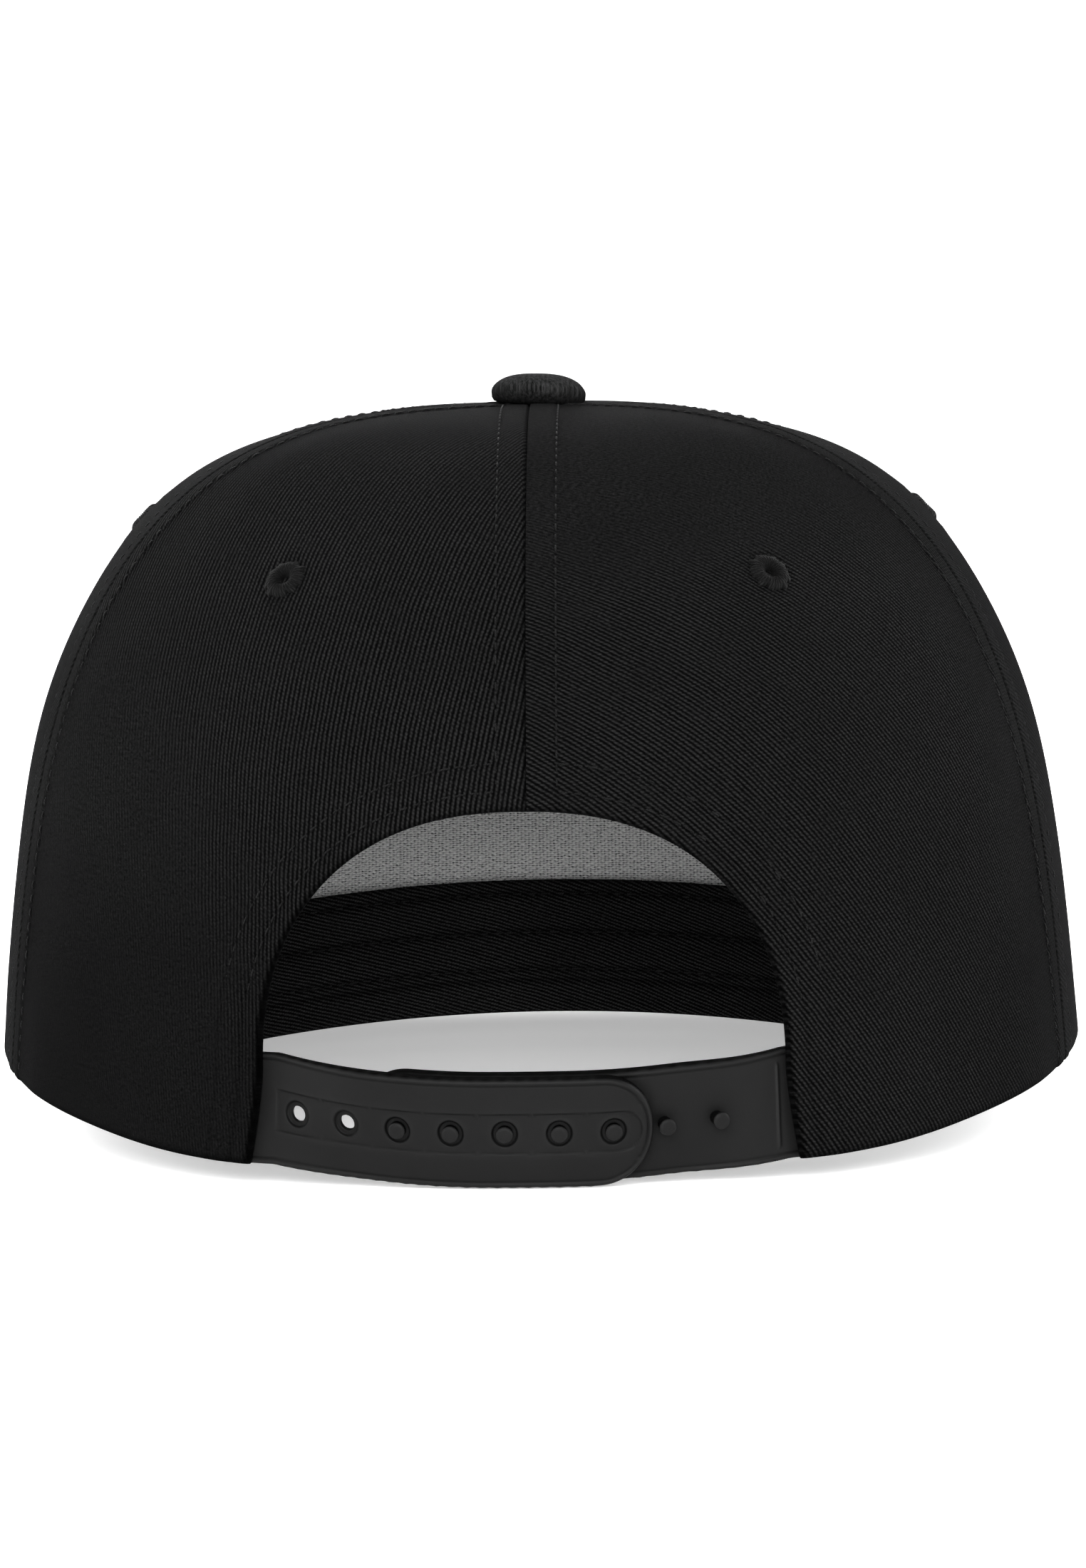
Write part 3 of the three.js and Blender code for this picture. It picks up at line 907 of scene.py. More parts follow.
def seam_rows(where, side):
    """Both rows of a panel, each inside one of its seams, from the rim or arch to the button."""
    rows = []
    for seam, sign in zip(SPANS[where], (1, -1)):
        climbs = SEAM_CLIMBS
        along, _, _ = frame_at(crown_point, np.full(len(climbs), seam), climbs)
        azimuths = seam + sign * SEAM_ROW / np.linalg.norm(along, axis=-1)
        if seam == 0:
            above = crown_point(azimuths, climbs)[:, 2] > OPENING_TOP + GAP
            climbs, azimuths = climbs[above], azimuths[above]
        rows.append(crown_path(azimuths, climbs, SEAM_LIFT, side))
    return rows


def arch_rows(side):
    azimuth, climb = ARCHES[side]
    path = crown_point(azimuth, climb)
    _, _, normal = frame_at(crown_point, azimuth, climb)
    away = unit(np.cross(unit(np.gradient(path, axis=0)), normal))
    if away[len(away) // 2] @ np.array([-1.0, 0.0, 0.5]) < 0:
        away = -away
    rows = []
    for offset in ARCH_ROWS:
        moved = path + away * offset
        turn = np.degrees(np.arctan2(-moved[:, 0] / HALF_WIDTH, moved[:, 1] / REAR_REACH))
        rise = climb_at(turn, moved[:, 2])
        sewn = (turn > 0) & (rise > 0.5)
        rows.append(crown_path(turn[sewn], rise[sewn], ARCH_LIFT, side))
    return rows


for where in SPANS:
    for word, side in SIDES.items():
        rows = seam_rows(where, side) + (arch_rows(side) if where == "rear" else [])
        sewing = stitches(f"stitching_{where}_{word}", rows)
        _, _, u, v = panel_lengths(where)

# ---- Button ----


def lathe(profile, segments):
    """Rings of points about the upright axis, from radii and heights, and their turns."""
    turn = np.linspace(0, 2 * np.pi, segments, endpoint=False)
    r, z = np.asarray(profile, float).T
    points = np.stack([
        r[:, None] * np.cos(turn)[None], r[:, None] * np.sin(turn)[None],
        np.repeat(z[:, None], segments, 1)], -1)
    return points, turn


def axes_at(point, azimuth, height, *more):
    """The unit directions along a surface, up it and out of it."""
    return np.stack([unit(v) for v in frame_at(point, azimuth, height, *more)])


# The button hangs a little to the wearer's right and to the rear, as shares of its width
BUTTON_LEAN = (0.045, 0.06)
BUTTON_SEGMENTS = 96
BUTTON_GATHERS = 17
BUTTON_NAP = 0.95
AXIS_RADIUS = 0.02


def build_button():
    radius = BUTTON_DIAMETER / 2
    seat = CROWN_HEIGHT + GAP
    bend = np.pi / 2 * np.linspace(0, 1, 26)
    dome_r = radius * np.cos(bend) ** 0.8
    dome_z = seat + BUTTON_HEIGHT * (0.36 + 0.7 * np.sin(bend) ** 1.05)
    profile = np.array([
        (AXIS_RADIUS, seat + 0.1), (radius * 0.55, seat + 0.05), (radius * 0.86, seat),
        (radius * 0.95, seat + 0.25), (radius * 0.99, seat + 0.8), *zip(dome_r, dome_z)])
    profile[-1, 0] = AXIS_RADIUS
    points, turn = lathe(profile, BUTTON_SEGMENTS)
    r = np.hypot(points[..., 0], points[..., 1])
    outer = past(r / radius, 0.7, 0.3)
    gathers = 0.1 * np.sin(turn * BUTTON_GATHERS + 0.7 * np.sin(turn * 3)) * outer
    points[..., :2] *= (1 + gathers / np.maximum(r, 1))[..., None]
    points[..., 2] += 0.12 * np.sin(points[..., 0] / 2.6 + 0.8) * np.sin(points[..., 1] / 3.1)
    # Painted shade and light: darker at the foot as a painted contact shadow, lighter towards the
    # top
    shade = np.clip((points[..., 2] - seat) / (BUTTON_HEIGHT * 0.26), 0.15, 2.9)
    points[..., 2] += points[..., 0] * BUTTON_LEAN[0] - points[..., 1] * BUTTON_LEAN[1]
    points[..., 0] -= BUTTON_SHIFT
    flat = points.reshape(-1, 3)
    uv = np.stack([flat[:, 0], flat[:, 1] + (flat[:, 2] - seat) * 0.9], -1)
    add_piece("cloth_button", "twill", ["button"], flat, tube_faces(len(profile), BUTTON_SEGMENTS),
              uv, crown_twill, shade=shade, nap=np.full(len(flat), BUTTON_NAP))


build_button()

# ---- Eyelets ----

EYELET_STITCHES = 34
EYELET_SEGMENTS = EYELET_STITCHES * 5
EYELET_PROUD = {"rear": 1.15, "side": 1.45, "front": 1.15}
EYELET_FACE = np.linspace(0, 1, 17)


def build_eyelet(where, word, side):
    azimuth, share = EYELETS[where]
    height = share * CROWN_HEIGHT
    ring, hole = EYELET_DIAMETER / 2, EYELET_HOLE / 2 - 0.15
    deep = THIRD_LAYER if where == "front" else CLOTH_WALL + 0.35
    t = EYELET_FACE
    crest = np.sin(np.pi * (0.8 * t + 0.02)) ** 0.6
    z_face = -0.35 + EYELET_PROUD[where] * crest - 0.9 * t**4
    profile = np.array([
        *zip(lerp(ring, hole, t), z_face), (hole, -deep - 0.3), (hole + 0.7, -deep - 0.75),
        (ring - 0.6, -deep - 0.7), (ring, -deep - 0.2), (ring, -0.6)])
    count = len(profile)
    points, turn = lathe(profile, EYELET_SEGMENTS)
    wave = 0.5 + 0.5 * np.cos(turn * EYELET_STITCHES + 0.8 * np.sin(turn * 7 + azimuth))
    long_stitch = np.sin(turn * 9 + azimuth) * 0.5 + np.sin(turn * 13 + 2) * 0.5
    points[:len(t), :, 2] += 0.17 * wave * (np.sin(np.pi * t) ** 0.6)[:, None]
    rim = np.zeros(count)
    rim[:5] = (1, 0.8, 0.6, 0.3, 0.1)
    rim[-1] = 1
    scale = 1 + rim[:, None] * (0.1 * long_stitch + 0.05 * wave - 0.04)
    points[..., :2] *= scale[..., None]
    flat = points.reshape(-1, 3)
    world = wall_point(azimuth, height, 0) + flat @ axes_at(wall_point, azimuth, height, 0)
    r = np.hypot(flat[:, 0], flat[:, 1])
    # Painted shade, dark in the hole and lighter out to the ring; the threads' wrap varies the
    # tone
    fall = np.interp(r, [hole, hole + 0.7, ring * 0.75, ring], [0.05, 0.4, 0.52, 0.66])
    shade = fall * np.tile((0.35 + 0.85 * wave) * (1 + 0.3 * long_stitch), count)
    faces = tube_faces(count, EYELET_SEGMENTS)[:-2]
    last = (count - 1) * EYELET_SEGMENTS
    for k in range(EYELET_SEGMENTS):
        after = (k + 1) % EYELET_SEGMENTS
        faces.append((last + k, last + after, after, k))
    if side > 0:
        faces = [f[::-1] for f in faces]
    uv = np.stack([np.tile(turn * ring, count), r], -1)
    node = f"eyelet_{where}_{word}"
    add_piece(f"sewn_{node}", "thread", [node], mirror(world, side), faces, uv, seam_thread,
              shade=shade)


for where in EYELETS:
    for word, side in SIDES.items():
        build_eyelet(where, word, side)

# ---- Brim ----

BRIM_ROWS = (3.0, 9.0, 15.0, 21.0, 27.0, 33.0, 39.0, 45.0)
BRIM_SEAT = 0.5
BRIM_NAP = 0.15
BRIM_GROOVES = ((-0.75, 0, 0.8), *((-0.16, row, 0.55) for row in BRIM_ROWS))
BRIM_SHADING = ((-0.5, 0, 0.8), *((-0.2, row, 0.45) for row in BRIM_ROWS))


def brim_shares(count):
    """Shares of the brim's half span, closer together at its ends, which they just miss."""
    return 0.999 * np.sin(np.pi * (np.linspace(0, 1, count) - 0.5))


def build_brim():
    s, v = np.meshgrid(brim_shares(150), clustered(90, 0.5), indexing="ij")
    x, y = brim_plan(s, v)
    seated = BRIM_SEAT * (1 - v) ** 8
    around = np.radians(BRIM_END_ANGLE * s)
    x, y = x - seated * np.sin(around), y + seated * np.cos(around)
    low, reach = brim_underside(x), brim_reach(s)
    edge = reach * (1 - v)
    relief = marks(edge, *BRIM_GROOVES) + 0.25 * hump(reach * v, 0, 1.5)
    relief = relief + 0.05 * np.sin(edge / 1.9)
    # Painted shade along the brim's edge and in its rows of stitches
    shade = 1 + marks(edge, *BRIM_SHADING)
    top = np.stack([x, y, low + BRIM_WALL + relief], -1)
    bottom = np.stack([x, y, low - np.minimum(relief, 0) * 0.8], -1)
    uv = np.stack([x + y, x - y], -1) * 0.7071
    obj = sheet_piece("cloth_brim", "brim_twill", "brim", top, bottom, uv, brim_twill,
                      shade=shade, nap=BRIM_NAP)
    rows = []
    for row in BRIM_ROWS:
        shares = brim_shares(600)
        shares = shares[brim_reach(shares) > row + 1.0]
        px, py = brim_plan(shares, 1 - row / brim_reach(shares))
        for lift, facing in ((BRIM_WALL - 0.1, 1.0), (0.12, -1.0)):
            path = np.stack([px, py, brim_underside(px) + lift], -1)
            rows.append((path, np.tile(np.array([0.0, 0.0, facing]), (len(path), 1))))
    sewing = stitches("stitching_brim", rows, pitch=3.0, length=2.2)


build_brim()

# ---- Sweatband ----

BAND_ROWS = (2.5, 9.6, 16.4)
BAND_GROOVE = 18.4
BAND_START = 4
BAND_LEAN = -18
BAND_FACE = THIRD_LAYER + SWEATBAND_WALL
BAND_GROOVES = tuple((-0.3, row, 0.6) for row in (*BAND_ROWS, BAND_GROOVE))
BAND_SHADING = ((-0.3, 0, 0.6), (-0.5, BAND_GROOVE, 0.5), *((-0.6, row, 0.5) for row in BAND_ROWS))


def from_rear(turn):
    """Turns from 0 to 360 as azimuths to both sides of the rear centre."""
    return np.where(turn > 180, turn - 360, turn)


def band_height(azimuth, share):
    return rim_height(azimuth) + SWEATBAND_RISE + SWEATBAND_HEIGHT * share


def build_sweatband():
    start = OPENING_AZIMUTH + BAND_START
    turn = np.linspace(start, 360 - start, 420)
    azimuth = from_rear(turn)
    a, s = np.meshgrid(azimuth, clustered(46, 0.3), indexing="ij")
    height = band_height(a, s)
    run = np.broadcast_to((np.radians(turn) * HALF_WIDTH)[:, None], a.shape)
    rise, down = s * SWEATBAND_HEIGHT, SWEATBAND_HEIGHT * (1 - s)
    relief = marks(down, *BAND_GROOVES) + 0.2 * past(down, 18, 2)
    relief = relief + 0.25 * np.sin(down / 1.9 + 0.5 * np.sin(run / 17.0))
    # Painted shade along the band's top edge, its groove and its rows of stitches
    shade = np.clip(1 + marks(down, *BAND_SHADING), 0.1, 1.3)
    roll = 0.32 * hump(np.minimum(rise, down), 0, 0.5)
    _, _, normal = frame_at(wall_point, a, height, THIRD_LAYER)
    back = wall_point(a, height, THIRD_LAYER) - normal * roll[..., None]
    front = wall_point(a, height, BAND_FACE) + normal * (roll - relief)[..., None]
    level, lean = math.cos(math.radians(BAND_LEAN)), math.sin(math.radians(BAND_LEAN))
    uv = np.stack([rise * level + run * lean, run * level - rise * lean], -1)
    obj = sheet_piece("cloth_sweatband", "sweatband_twill", "sweatband", back, front, uv,
                      band_twill, shade=shade, nap=0)
    rows = []
    for row in BAND_ROWS:
        h = band_height(azimuth, 1 - row / SWEATBAND_HEIGHT)
        _, _, out = frame_at(wall_point, azimuth, h, BAND_FACE)
        rows.append((wall_point(azimuth, h, BAND_FACE), -out))
    sewing = stitches("stitching_sweatband", rows, tone=3.0, pitch=2.6, length=1.7)


build_sweatband()

# ---- Front lining ----

LINING_MARGIN = 1.5
LINING_RIDGE = (0.35, 0, 3.0)
LINING_LEVELS = 14


def build_lining():
    start = FRONT_SEAM + LINING_MARGIN
    turn = np.linspace(start, 360 - start, 150)
    row = TOP_CLIMB / LINING_LEVELS
    a, c = np.meshgrid(from_rear(turn), np.linspace(row, TOP_CLIMB - row, 80), indexing="ij")
    _, _, normal = frame_at(crown_point, a, c)
    ridge = marks(np.radians(180 - np.abs(a)) * HALF_WIDTH, LINING_RIDGE)
    back = crown_point(a, c, SECOND_LAYER)
    front = back - normal * (LINING_WALL + ridge)[..., None]
    across = np.broadcast_to((np.radians(turn - 180) * FRONT_REACH)[:, None], a.shape)
    obj = sheet_piece("stiff_front_lining", "buckram", "front_lining", back, front,
                      np.stack([across, front[..., 2]], -1), buckram)


build_lining()


# ---- Snap strap ----

STRAP_STEP = math.degrees(SNAP_PITCH / HALF_WIDTH)
TAB_AZIMUTH = OPENING_AZIMUTH + math.degrees(STRAP_TAB / HALF_WIDTH)
LAST_HOLE = FIRST_HOLE + (SNAP_COUNT - 1) * STRAP_STEP
HOLES_END = LAST_HOLE + math.degrees(HOLES_END_MARGIN / HALF_WIDTH)
FIRST_PEG = FIRST_HOLE + FIRST_PEG_STEP * STRAP_STEP
PEGS_END = FIRST_PEG - math.degrees(PEGS_END_MARGIN / HALF_WIDTH)
FLAT_AZIMUTH = math.degrees(STRAP_FLAT_HALF / HALF_WIDTH)
TRACK_HALF = 3.2
CELL_HALF = 3.45
PEG_NECK = 2.0
PEG_HEAD = 2.7
PEG_HEAD_WALL = 0.4
PEG_CLEARANCE = 0.25
HOLE_DIAMETER = PEG_NECK + 2 * PEG_CLEARANCE
SINK_RADIUS = 2.1
BEAD_GROOVE = 0.9
STRAP_TILT = 0.34
RIDGE_RUN = 2.0
RIDGE_HALF = 6.6
TILT_START = 12.0
TILT_FADE = 14.0
TIP_SHARE = 0.12


def strap_middle(azimuth):
    rise = (np.abs(azimuth) - FLAT_AZIMUTH) / (OPENING_AZIMUTH - FLAT_AZIMUTH)
    return STRAP_WIDTH / 2 + HEM_LIFT * np.clip(rise, 0, 1) ** 2


def strap_point(azimuth, height, inset):
    """A point of the strap, whose face turns downwards between its two tabs."""
    azimuth, height = np.broadcast_arrays(np.asarray(azimuth, float), np.asarray(height, float))
    away = np.radians(azimuth)
    out = np.stack([-np.sin(away), np.cos(away), np.zeros(away.shape)], -1)
    tilt = STRAP_TILT * within(np.abs(azimuth), OPENING_AZIMUTH - TILT_START, TILT_FADE)
    lean = tilt * (height - strap_middle(azimuth))
    rise = tilt * (inset - SECOND_LAYER)
    return wall_point(azimuth, height + rise, inset) + out * lean[..., None]


def strap_half(run, end):
    """Half the band's width at a run in mm, with its free end rounded."""
    left = np.clip((end - run) / STRAP_END, 0, 1)
    corner = (1 - (1 - left) ** STRAP_END_ROUNDNESS) ** (1 / STRAP_END_ROUNDNESS)
    return STRAP_WIDTH / 2 * np.maximum(corner, TIP_SHARE)


class FlatMesh:
    """A flat mesh of quads that merges points which lie together."""

    def __init__(self):
        self.points, self.index, self.faces = [], {}, []

    def vertex(self, s, h):
        key = (round(s, 4), round(h, 4))
        if key not in self.index:
            self.index[key] = len(self.points)
            self.points.append((s, h))
        return self.index[key]

    def patch(self, grid):
        ids = [[self.vertex(*point) for point in row] for row in grid]
        for near, far in zip(ids, ids[1:]):
            for a, b, c, d in zip(near, far, far[1:], near[1:]):
                face = tuple(dict.fromkeys((a, b, c, d)))
                if len(face) > 2:
                    self.faces.append(face)

    def borders(self):
        seen = {}
        for face in self.faces:
            for edge in zip(face, face[1:] + face[:1]):
                seen[edge] = True
        return [edge for edge in seen if edge[::-1] not in seen]


CELL_SIDE = 12
SINK_RINGS = (HOLE_DIAMETER / 2, 1.36, 1.5, 1.7, 1.85, 1.95, 2.05, 2.15, 2.25, 2.4)
CELL_RINGS = (0.3, 0.5, 0.62, 0.7, 0.78, 0.88, 1.0)
EDGE_HEIGHTS = (CELL_HALF, 4.2, 5.2, 6.2, 6.7, 7.0, 7.2, 7.4, 7.65, 7.9, 8.15, 8.35, 8.5,
                STRAP_WIDTH / 2)


def square_point(k, half_s, half_h):
    """Point k of the cell's border, counter-clockwise from the lower left corner."""
    side, step = divmod(k % (4 * CELL_SIDE), CELL_SIDE)
    t = 2 * step / CELL_SIDE - 1
    return [(t * half_s, -half_h), (half_s, t * half_h), (-t * half_s, half_h),
            (-half_s, -t * half_h)][side]


def hole_cell(mesh, centre, half_s, half_h):
    """A cell of the strap with a round hole and its countersink."""
    square = [square_point(k, half_s, half_h) for k in range(4 * CELL_SIDE + 1)]
    turns = [math.atan2(y, x) for x, y in square]
    rings = [[(centre + radius * math.cos(turn), radius * math.sin(turn)) for turn in turns]
             for radius in SINK_RINGS]
    round_ring = rings[-1]
    for share in CELL_RINGS:
        rings.append([(x + (centre + sx - x) * share, y + (sy - y) * share)
                      for (x, y), (sx, sy) in zip(round_ring, square)])
    mesh.patch(rings)


def slowing(start, end, count):
    """Places from start to end, closer together towards the end."""
    return [end - (end - start) * (1 - math.sin(math.pi / 2 * k / count))
            for k in range(count + 1)]


def strap_mesh(start, end, hole_runs):
    """The band laid flat: run along it in mm, and height about its middle."""
    mesh = FlatMesh()
    half_s, half_h = SNAP_PITCH / 2, CELL_HALF
    middle = [half_h * (2 * k / CELL_SIDE - 1) for k in range(CELL_SIDE + 1)]
    falling = [-h for h in EDGE_HEIGHTS[::-1]]
    heights = falling[:-1] + middle + list(EDGE_HEIGHTS[1:])
    last = (hole_runs[-1] if hole_runs else end - HOLES_END_MARGIN) + half_s
    core = half_h / strap_half(last, end)

    def squeezed(s, h):
        """A row's height where the rounded end narrows the band, about a core of a cell."""
        half = strap_half(s, end)
        inner = min(half_h, half * core)
        if abs(h) <= half_h + 1e-9:
            return h * inner / half_h
        outer = inner + (abs(h) - half_h) / (STRAP_WIDTH / 2 - half_h) * (half - inner)
        return math.copysign(outer, h)

    def band(runs):
        mesh.patch([[(s, squeezed(s, h)) for h in heights] for s in runs])

    if not hole_runs:
        tail = end - STRAP_END
        ridge = start + STRAP_TAB + RIDGE_RUN
        band(sorted([*np.linspace(start, tail, 60), *np.linspace(ridge - 1.2, ridge + 0.9, 22)]))
        band(slowing(tail, end, 24))
        return mesh
    band(np.linspace(start, hole_runs[0] - half_s, 30))
    for run in hole_runs:
        hole_cell(mesh, run, half_s, half_h)
    steps = [hole_runs[0] - half_s + k * SNAP_PITCH / CELL_SIDE
             for k in range(CELL_SIDE * len(hole_runs) + 1)]
    for rows in (EDGE_HEIGHTS, falling):
        mesh.patch([[(s, squeezed(s, h)) for h in rows] for s in steps])
    band(slowing(last, end, 36))
    return mesh


def strap_perimeter(start, end):
    runs = np.array([*np.linspace(start, end - STRAP_END, 200),
                     *slowing(end - STRAP_END, end, 119)])
    half = strap_half(runs, end)
    tip = np.linspace(-1, 1, 20) * half[-1]
    return np.concatenate([np.stack([runs, half], -1), np.stack([runs, -half], -1),
                           np.stack([np.full(20, end), tip], -1)])


# The strap's bead, track, sinks and ridge, as humps of relief and of painted shade and highlight
BEAD = (0.2, 0.45, 0.3), (-0.3, 0.0, 0.16), (-0.14, BEAD_GROOVE, 0.16)
BEAD_SHADING = (-0.97, 0, 0.13), (0.3, 0.45, 0.22), (-0.65, BEAD_GROOVE, 0.17)
TRACK_SHADING = (-0.6, 0.08, 0.16), (0.2, -0.25, 0.2)
SINK_SHADING = (-0.6, -0.1, 0.16), (0.2, 0.25, 0.16)
RIDGE_SHADING = (0.35, RIDGE_RUN + 0.1, 0.22), (-0.55, RIDGE_RUN - 0.4, 0.22)


def strap_relief(points, perimeter, holes, track):
    """Relief of the moulded face, with painted shade in its grooves and sinks and painted
    highlights.
    """
    s, h = points[:, 0], points[:, 1]
    edge = distance_to(points, perimeter)
    relief, shade = marks(edge, *BEAD), 1 + marks(edge, *BEAD_SHADING)
    if track:
        low, high = track
        d = TRACK_HALF - np.hypot(np.maximum(s - (high - TRACK_HALF), 0), h)
        d = np.minimum(d, s - low)
        relief = relief - 0.2 * past(d, -0.11, 0.22)
        shade = shade + marks(d, *TRACK_SHADING)
    for centre in holes:
        d = np.hypot(s - centre, h) - SINK_RADIUS
        relief = relief + 0.08 * hump(d, 0.18, 0.14) - 0.42 * within(d, -0.25, 0.25)
        shade = shade + marks(d, *SINK_SHADING) - 0.3 * (d < -0.2)
    if not holes:
        d = s - s.min() - STRAP_TAB
        tall = np.abs(h) < RIDGE_HALF
        relief = relief + 0.2 * hump(d, RIDGE_RUN, 0.25) * tall
        shade = shade + marks(d, *RIDGE_SHADING) * tall - 0.35 * within(d, 0, RIDGE_RUN - 0.6)
    return relief, shade


# Painted shade on the strap's inner face and along its edges
INNER_SHADE = 0.3


def build_strap(name, node, start, end, towards, inset_at, holes=(), track=(), shadows=()):
    """towards is the azimuth's sign along the band, from its sewn tab to its free end.

    Each painted shadow is a path on the band, its reach in mm, and how dark it is.
    """
    mesh = strap_mesh(start, end, holes)
    flat = np.array(mesh.points)
    relief, shade = strap_relief(flat, strap_perimeter(start, end), holes, track)
    for below, reach, dip in shadows:
        shade = shade - dip * hump(distance_to(flat, below), 0, reach)
    shade = np.clip(shade, 0.12, 1.4)
    azimuth = towards * np.degrees(flat[:, 0] / HALF_WIDTH)
    height = strap_middle(azimuth) + flat[:, 1]
    inset = inset_at(azimuth)
    _, _, normal = frame_at(strap_point, azimuth, height, inset)
    outer = strap_point(azimuth, height, inset) + normal * relief[:, None]
    inner = strap_point(azimuth, height, inset + STRAP_WALL)
    count = len(flat)
    faces = list(mesh.faces) + [tuple(v + count for v in f[::-1]) for f in mesh.faces]
    faces += [(a, a + count, b + count, b) for a, b in mesh.borders()]
    if towards > 0:
        faces = [f[::-1] for f in faces]
    add_piece(name, "strap_plastic", [node], np.concatenate([outer, inner]), faces,
              np.concatenate([flat, flat]), strap_plastic,
              shade=np.concatenate([shade, shade * INNER_SHADE]))


def peg_inset(azimuth):
    """How deep the inner half lies: behind the outer half, then coming out to the panel."""
    clear = HOLES_END + 1
    return lerp(SECOND_LAYER, THIRD_LAYER, within(azimuth, clear, OPENING_AZIMUTH - clear))


def run_of(azimuth, towards):
    return towards * math.radians(azimuth) * HALF_WIDTH


holes_band = (run_of(-TAB_AZIMUTH, 1), run_of(HOLES_END, 1))
hole_runs = [run_of(FIRST_HOLE + k * STRAP_STEP, 1) for k in range(SNAP_COUNT)]
build_strap(
    "moulded_strap_holes", "strap_holes", *holes_band, 1,
    lambda azimuth: np.full(np.shape(azimuth), SECOND_LAYER), hole_runs,
    (hole_runs[0] - 3.6, hole_runs[-1] + 4.6),
)
outer_end = strap_perimeter(*holes_band) * [-1, 1]
peg_azimuths = [FIRST_PEG + k * STRAP_STEP for k in range(SNAP_COUNT)]
peg_places = np.array([(run_of(azimuth, -1), 0.0) for azimuth in peg_azimuths])
# Painted shadows on the pegged half, beside the holed half's end and round each peg
build_strap(
    "moulded_strap_pegs", "strap_pegs", run_of(TAB_AZIMUTH, -1), run_of(PEGS_END, -1), -1,
    peg_inset, shadows=[(outer_end, 1.0, 0.6), (peg_places, 1.9, 0.5)],
)

PEG_SEGMENTS = 32


def build_pegs():
    radius, neck = PEG_HEAD / 2, PEG_NECK / 2
    seat = STRAP_WALL + 2 * GAP - 0.35
    tall = seat + PEG_HEAD_WALL + 0.25
    profile = [
        (neck * 1.12, -0.3), (neck * 1.08, 0.05), (neck, 0.3), (neck, seat - 0.1),
        (radius * 0.97, seat), (radius, seat + 0.12), (radius, tall - 0.3),
        (radius * 0.95, tall - 0.16), (radius * 0.82, tall - 0.05), (radius * 0.6, tall),
        (radius * 0.3, tall + 0.01), (AXIS_RADIUS, tall + 0.01)]
    flat = lathe(profile, PEG_SEGMENTS)[0].reshape(-1, 3)
    faces = tube_faces(len(profile), PEG_SEGMENTS)
    face = GAP + STRAP_WALL
    parts = []
    for azimuth in peg_azimuths:
        height, inset = strap_middle(azimuth), peg_inset(azimuth)
        axes = axes_at(strap_point, azimuth, height, inset)
        centre = strap_point(azimuth, height, inset - face) - axes[2] * face
        parts.append((centre + flat @ axes, faces, flat[:, :2]))
    points, faces, uvs = joined(parts)
    # Painted shade low on each peg and a painted highlight round its head
    shade = np.interp(flat[:, 2], [seat, tall - 0.4, tall - 0.2, tall], [0.2, 0.5, 1.5, 1.1])
    add_piece("moulded_pegs", "strap_plastic", [], points, faces, uvs, strap_plastic,
              shade=np.tile(shade, len(parts)))


build_pegs()

# ---- Studio: a pale floor that curves up into a wall all round, soft lights and the camera ----

FLOOR_RADIUS = 3.2
FLOOR_BEND = 1.6
FLOOR_DROP = 0.0002
FLOOR_SEGMENTS = 96
WALL_TOP = 3.6
PAPER_TONE = (0.86, 0.86, 0.86, 1)
WHITE = (1, 1, 1, 1)


def build_studio():
    bend = np.linspace(0, np.pi / 2, 20)
    r = [0.001, 0.5, 1.5, *(FLOOR_RADIUS + FLOOR_BEND * np.sin(bend)), FLOOR_RADIUS + FLOOR_BEND]
    z = [0.0, 0.0, 0.0, *(FLOOR_BEND * (1 - np.cos(bend))), WALL_TOP]
    points, _ = lathe(np.stack([r, z], -1), FLOOR_SEGMENTS)
    n = Nodes("studio_paper")
    n.set(Base_Color=PAPER_TONE, Roughness=0.9, Specular_IOR_Level=0.1, Emission_Color=WHITE,
          Emission_Strength=0.4)
    faces = tube_faces(len(r), FLOOR_SEGMENTS)[:-1]
    floor = link_mesh("studio_floor", points.reshape(-1, 3), faces, n.material)
    floor.location.z = -FLOOR_DROP


build_studio()


def aim(obj, eye, target, roll=0.0):
    look = (Vector(target) - Vector(eye)).to_track_quat("-Z", "Y").to_matrix().to_4x4()
    obj.matrix_world = Matrix.Translation(eye) @ look @ Matrix.Rotation(roll, 4, "Z")


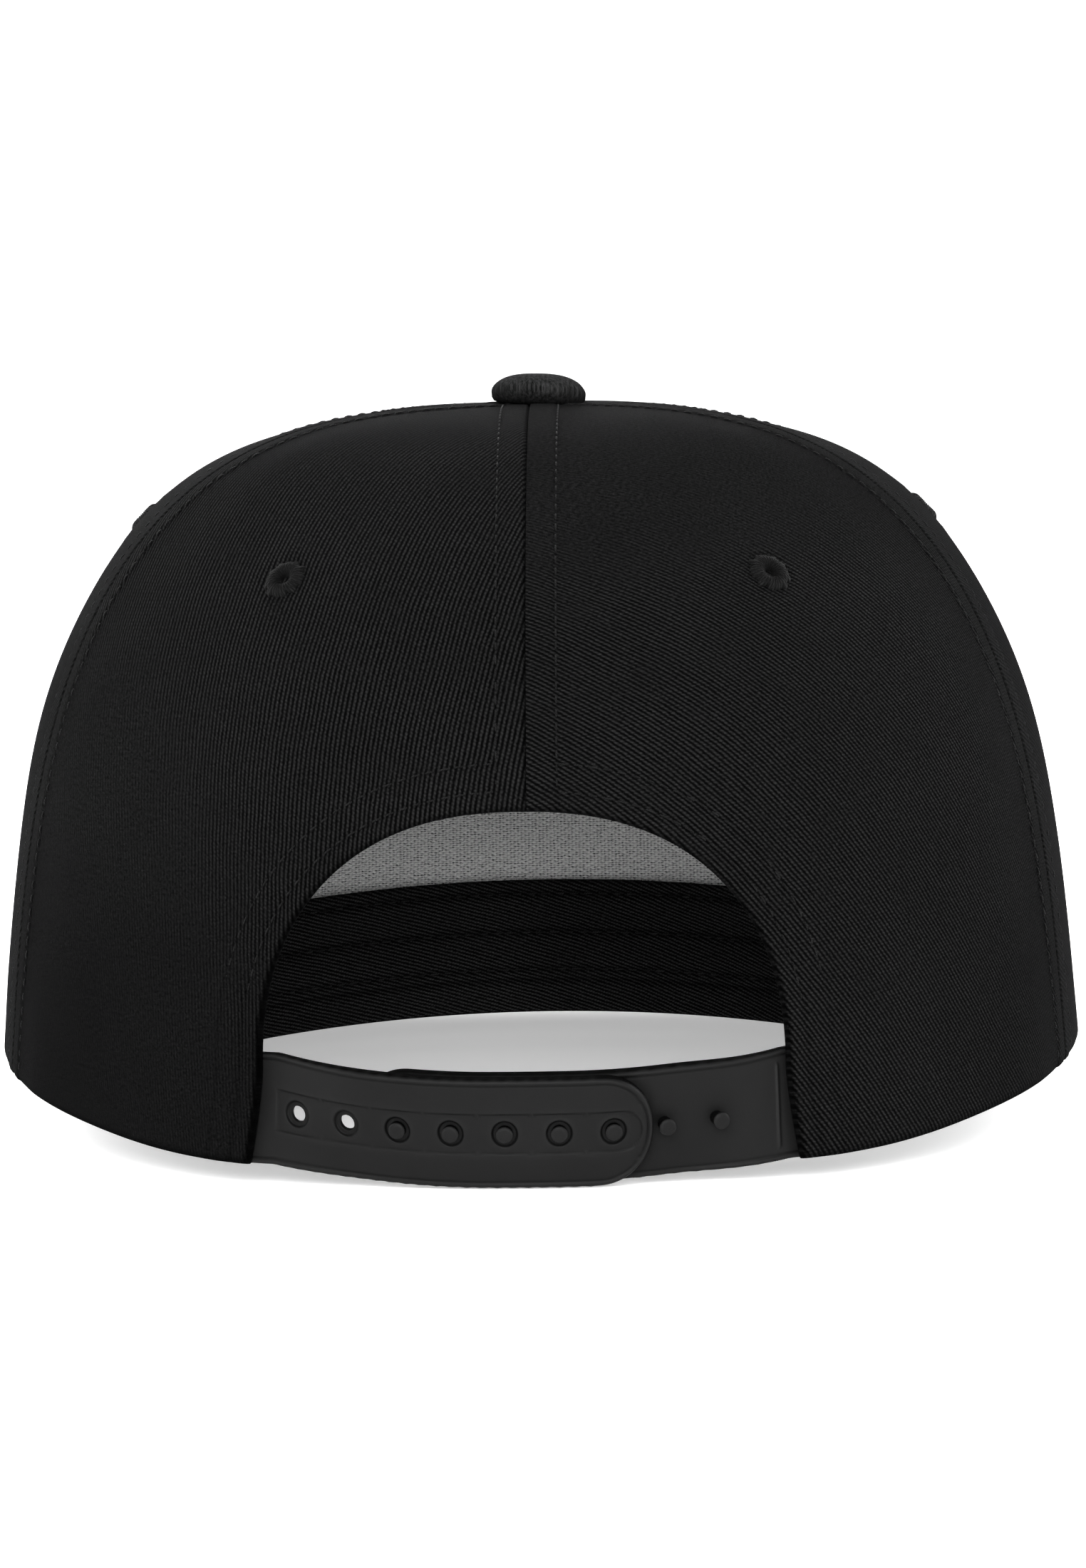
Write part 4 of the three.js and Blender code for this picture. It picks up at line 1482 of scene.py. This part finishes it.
def soft_light(name, eye, size, power):
    data = bpy.data.lights.new(name, "AREA")
    data.shape = "RECTANGLE"
    data.size, data.size_y = size
    data.energy = power
    light = bpy.data.objects.new(name, data)
    bpy.context.scene.collection.objects.link(light)
    aim(light, eye, (0, CENTRE_Y * MM, 0.06))

# Each light's place and size in metres, and its power in watts
LIGHTS = {
    "front_high": ((0.25, 1.9, 1.05), (1.5, 1.0), 58),
    "front_low": ((-0.1, 2.0, 0.34), (0.9, 0.44), 22),
    "side_right": ((-1.4, -0.2, 0.75), (0.7, 1.2), 30),
    "side_left": ((1.4, -0.2, 0.75), (0.7, 1.2), 24),
    "far_side": ((0.4, -1.9, 0.9), (1.2, 0.9), 30),
    "over_wall": ((0.0, -1.6, 2.6), (2.4, 1.0), 60),
}
WORLD_STRENGTH = 0.55

for light, sizes in LIGHTS.items():
    soft_light(light, *sizes)

world = bpy.data.worlds.new("studio_world")
world.use_nodes = True
world.node_tree.nodes["Background"].inputs["Color"].default_value = WHITE
world.node_tree.nodes["Background"].inputs["Strength"].default_value = WORLD_STRENGTH

bpy.context.scene.world = world

# ---- Camera, from the photo's outline ----

CAMERA_TURN = 181.19
CAMERA_RISE = 4.481
CAMERA_ROLL = 0.871
CAMERA_REACH = 1100.0
AIM_HEIGHT = 55.855
AIM_SHIFT = 0.932
PIXELS_PER_MM = 8.378
PHOTO_HEIGHT = 2200
SENSOR = 36.0


def build_camera():
    turn, rise = math.radians(CAMERA_TURN), math.radians(CAMERA_RISE)
    back = Vector((math.sin(turn) * math.cos(rise), -math.cos(turn) * math.cos(rise),
                   math.sin(rise)))
    right = Vector((math.cos(turn), math.sin(turn), 0))
    target = Vector((0, CENTRE_Y, AIM_HEIGHT)) + right * AIM_SHIFT
    eye = target + back * CAMERA_REACH
    data = bpy.data.cameras.new("camera")
    data.sensor_width = SENSOR
    data.lens = PIXELS_PER_MM * CAMERA_REACH * SENSOR / PHOTO_HEIGHT
    camera = bpy.data.objects.new("camera", data)
    bpy.context.scene.collection.objects.link(camera)
    aim(camera, eye * MM, target * MM, -math.radians(CAMERA_ROLL))
    bpy.context.scene.camera = camera


build_camera()
bpy.context.scene.view_settings.view_transform = "Standard"

bpy.context.view_layer.update()
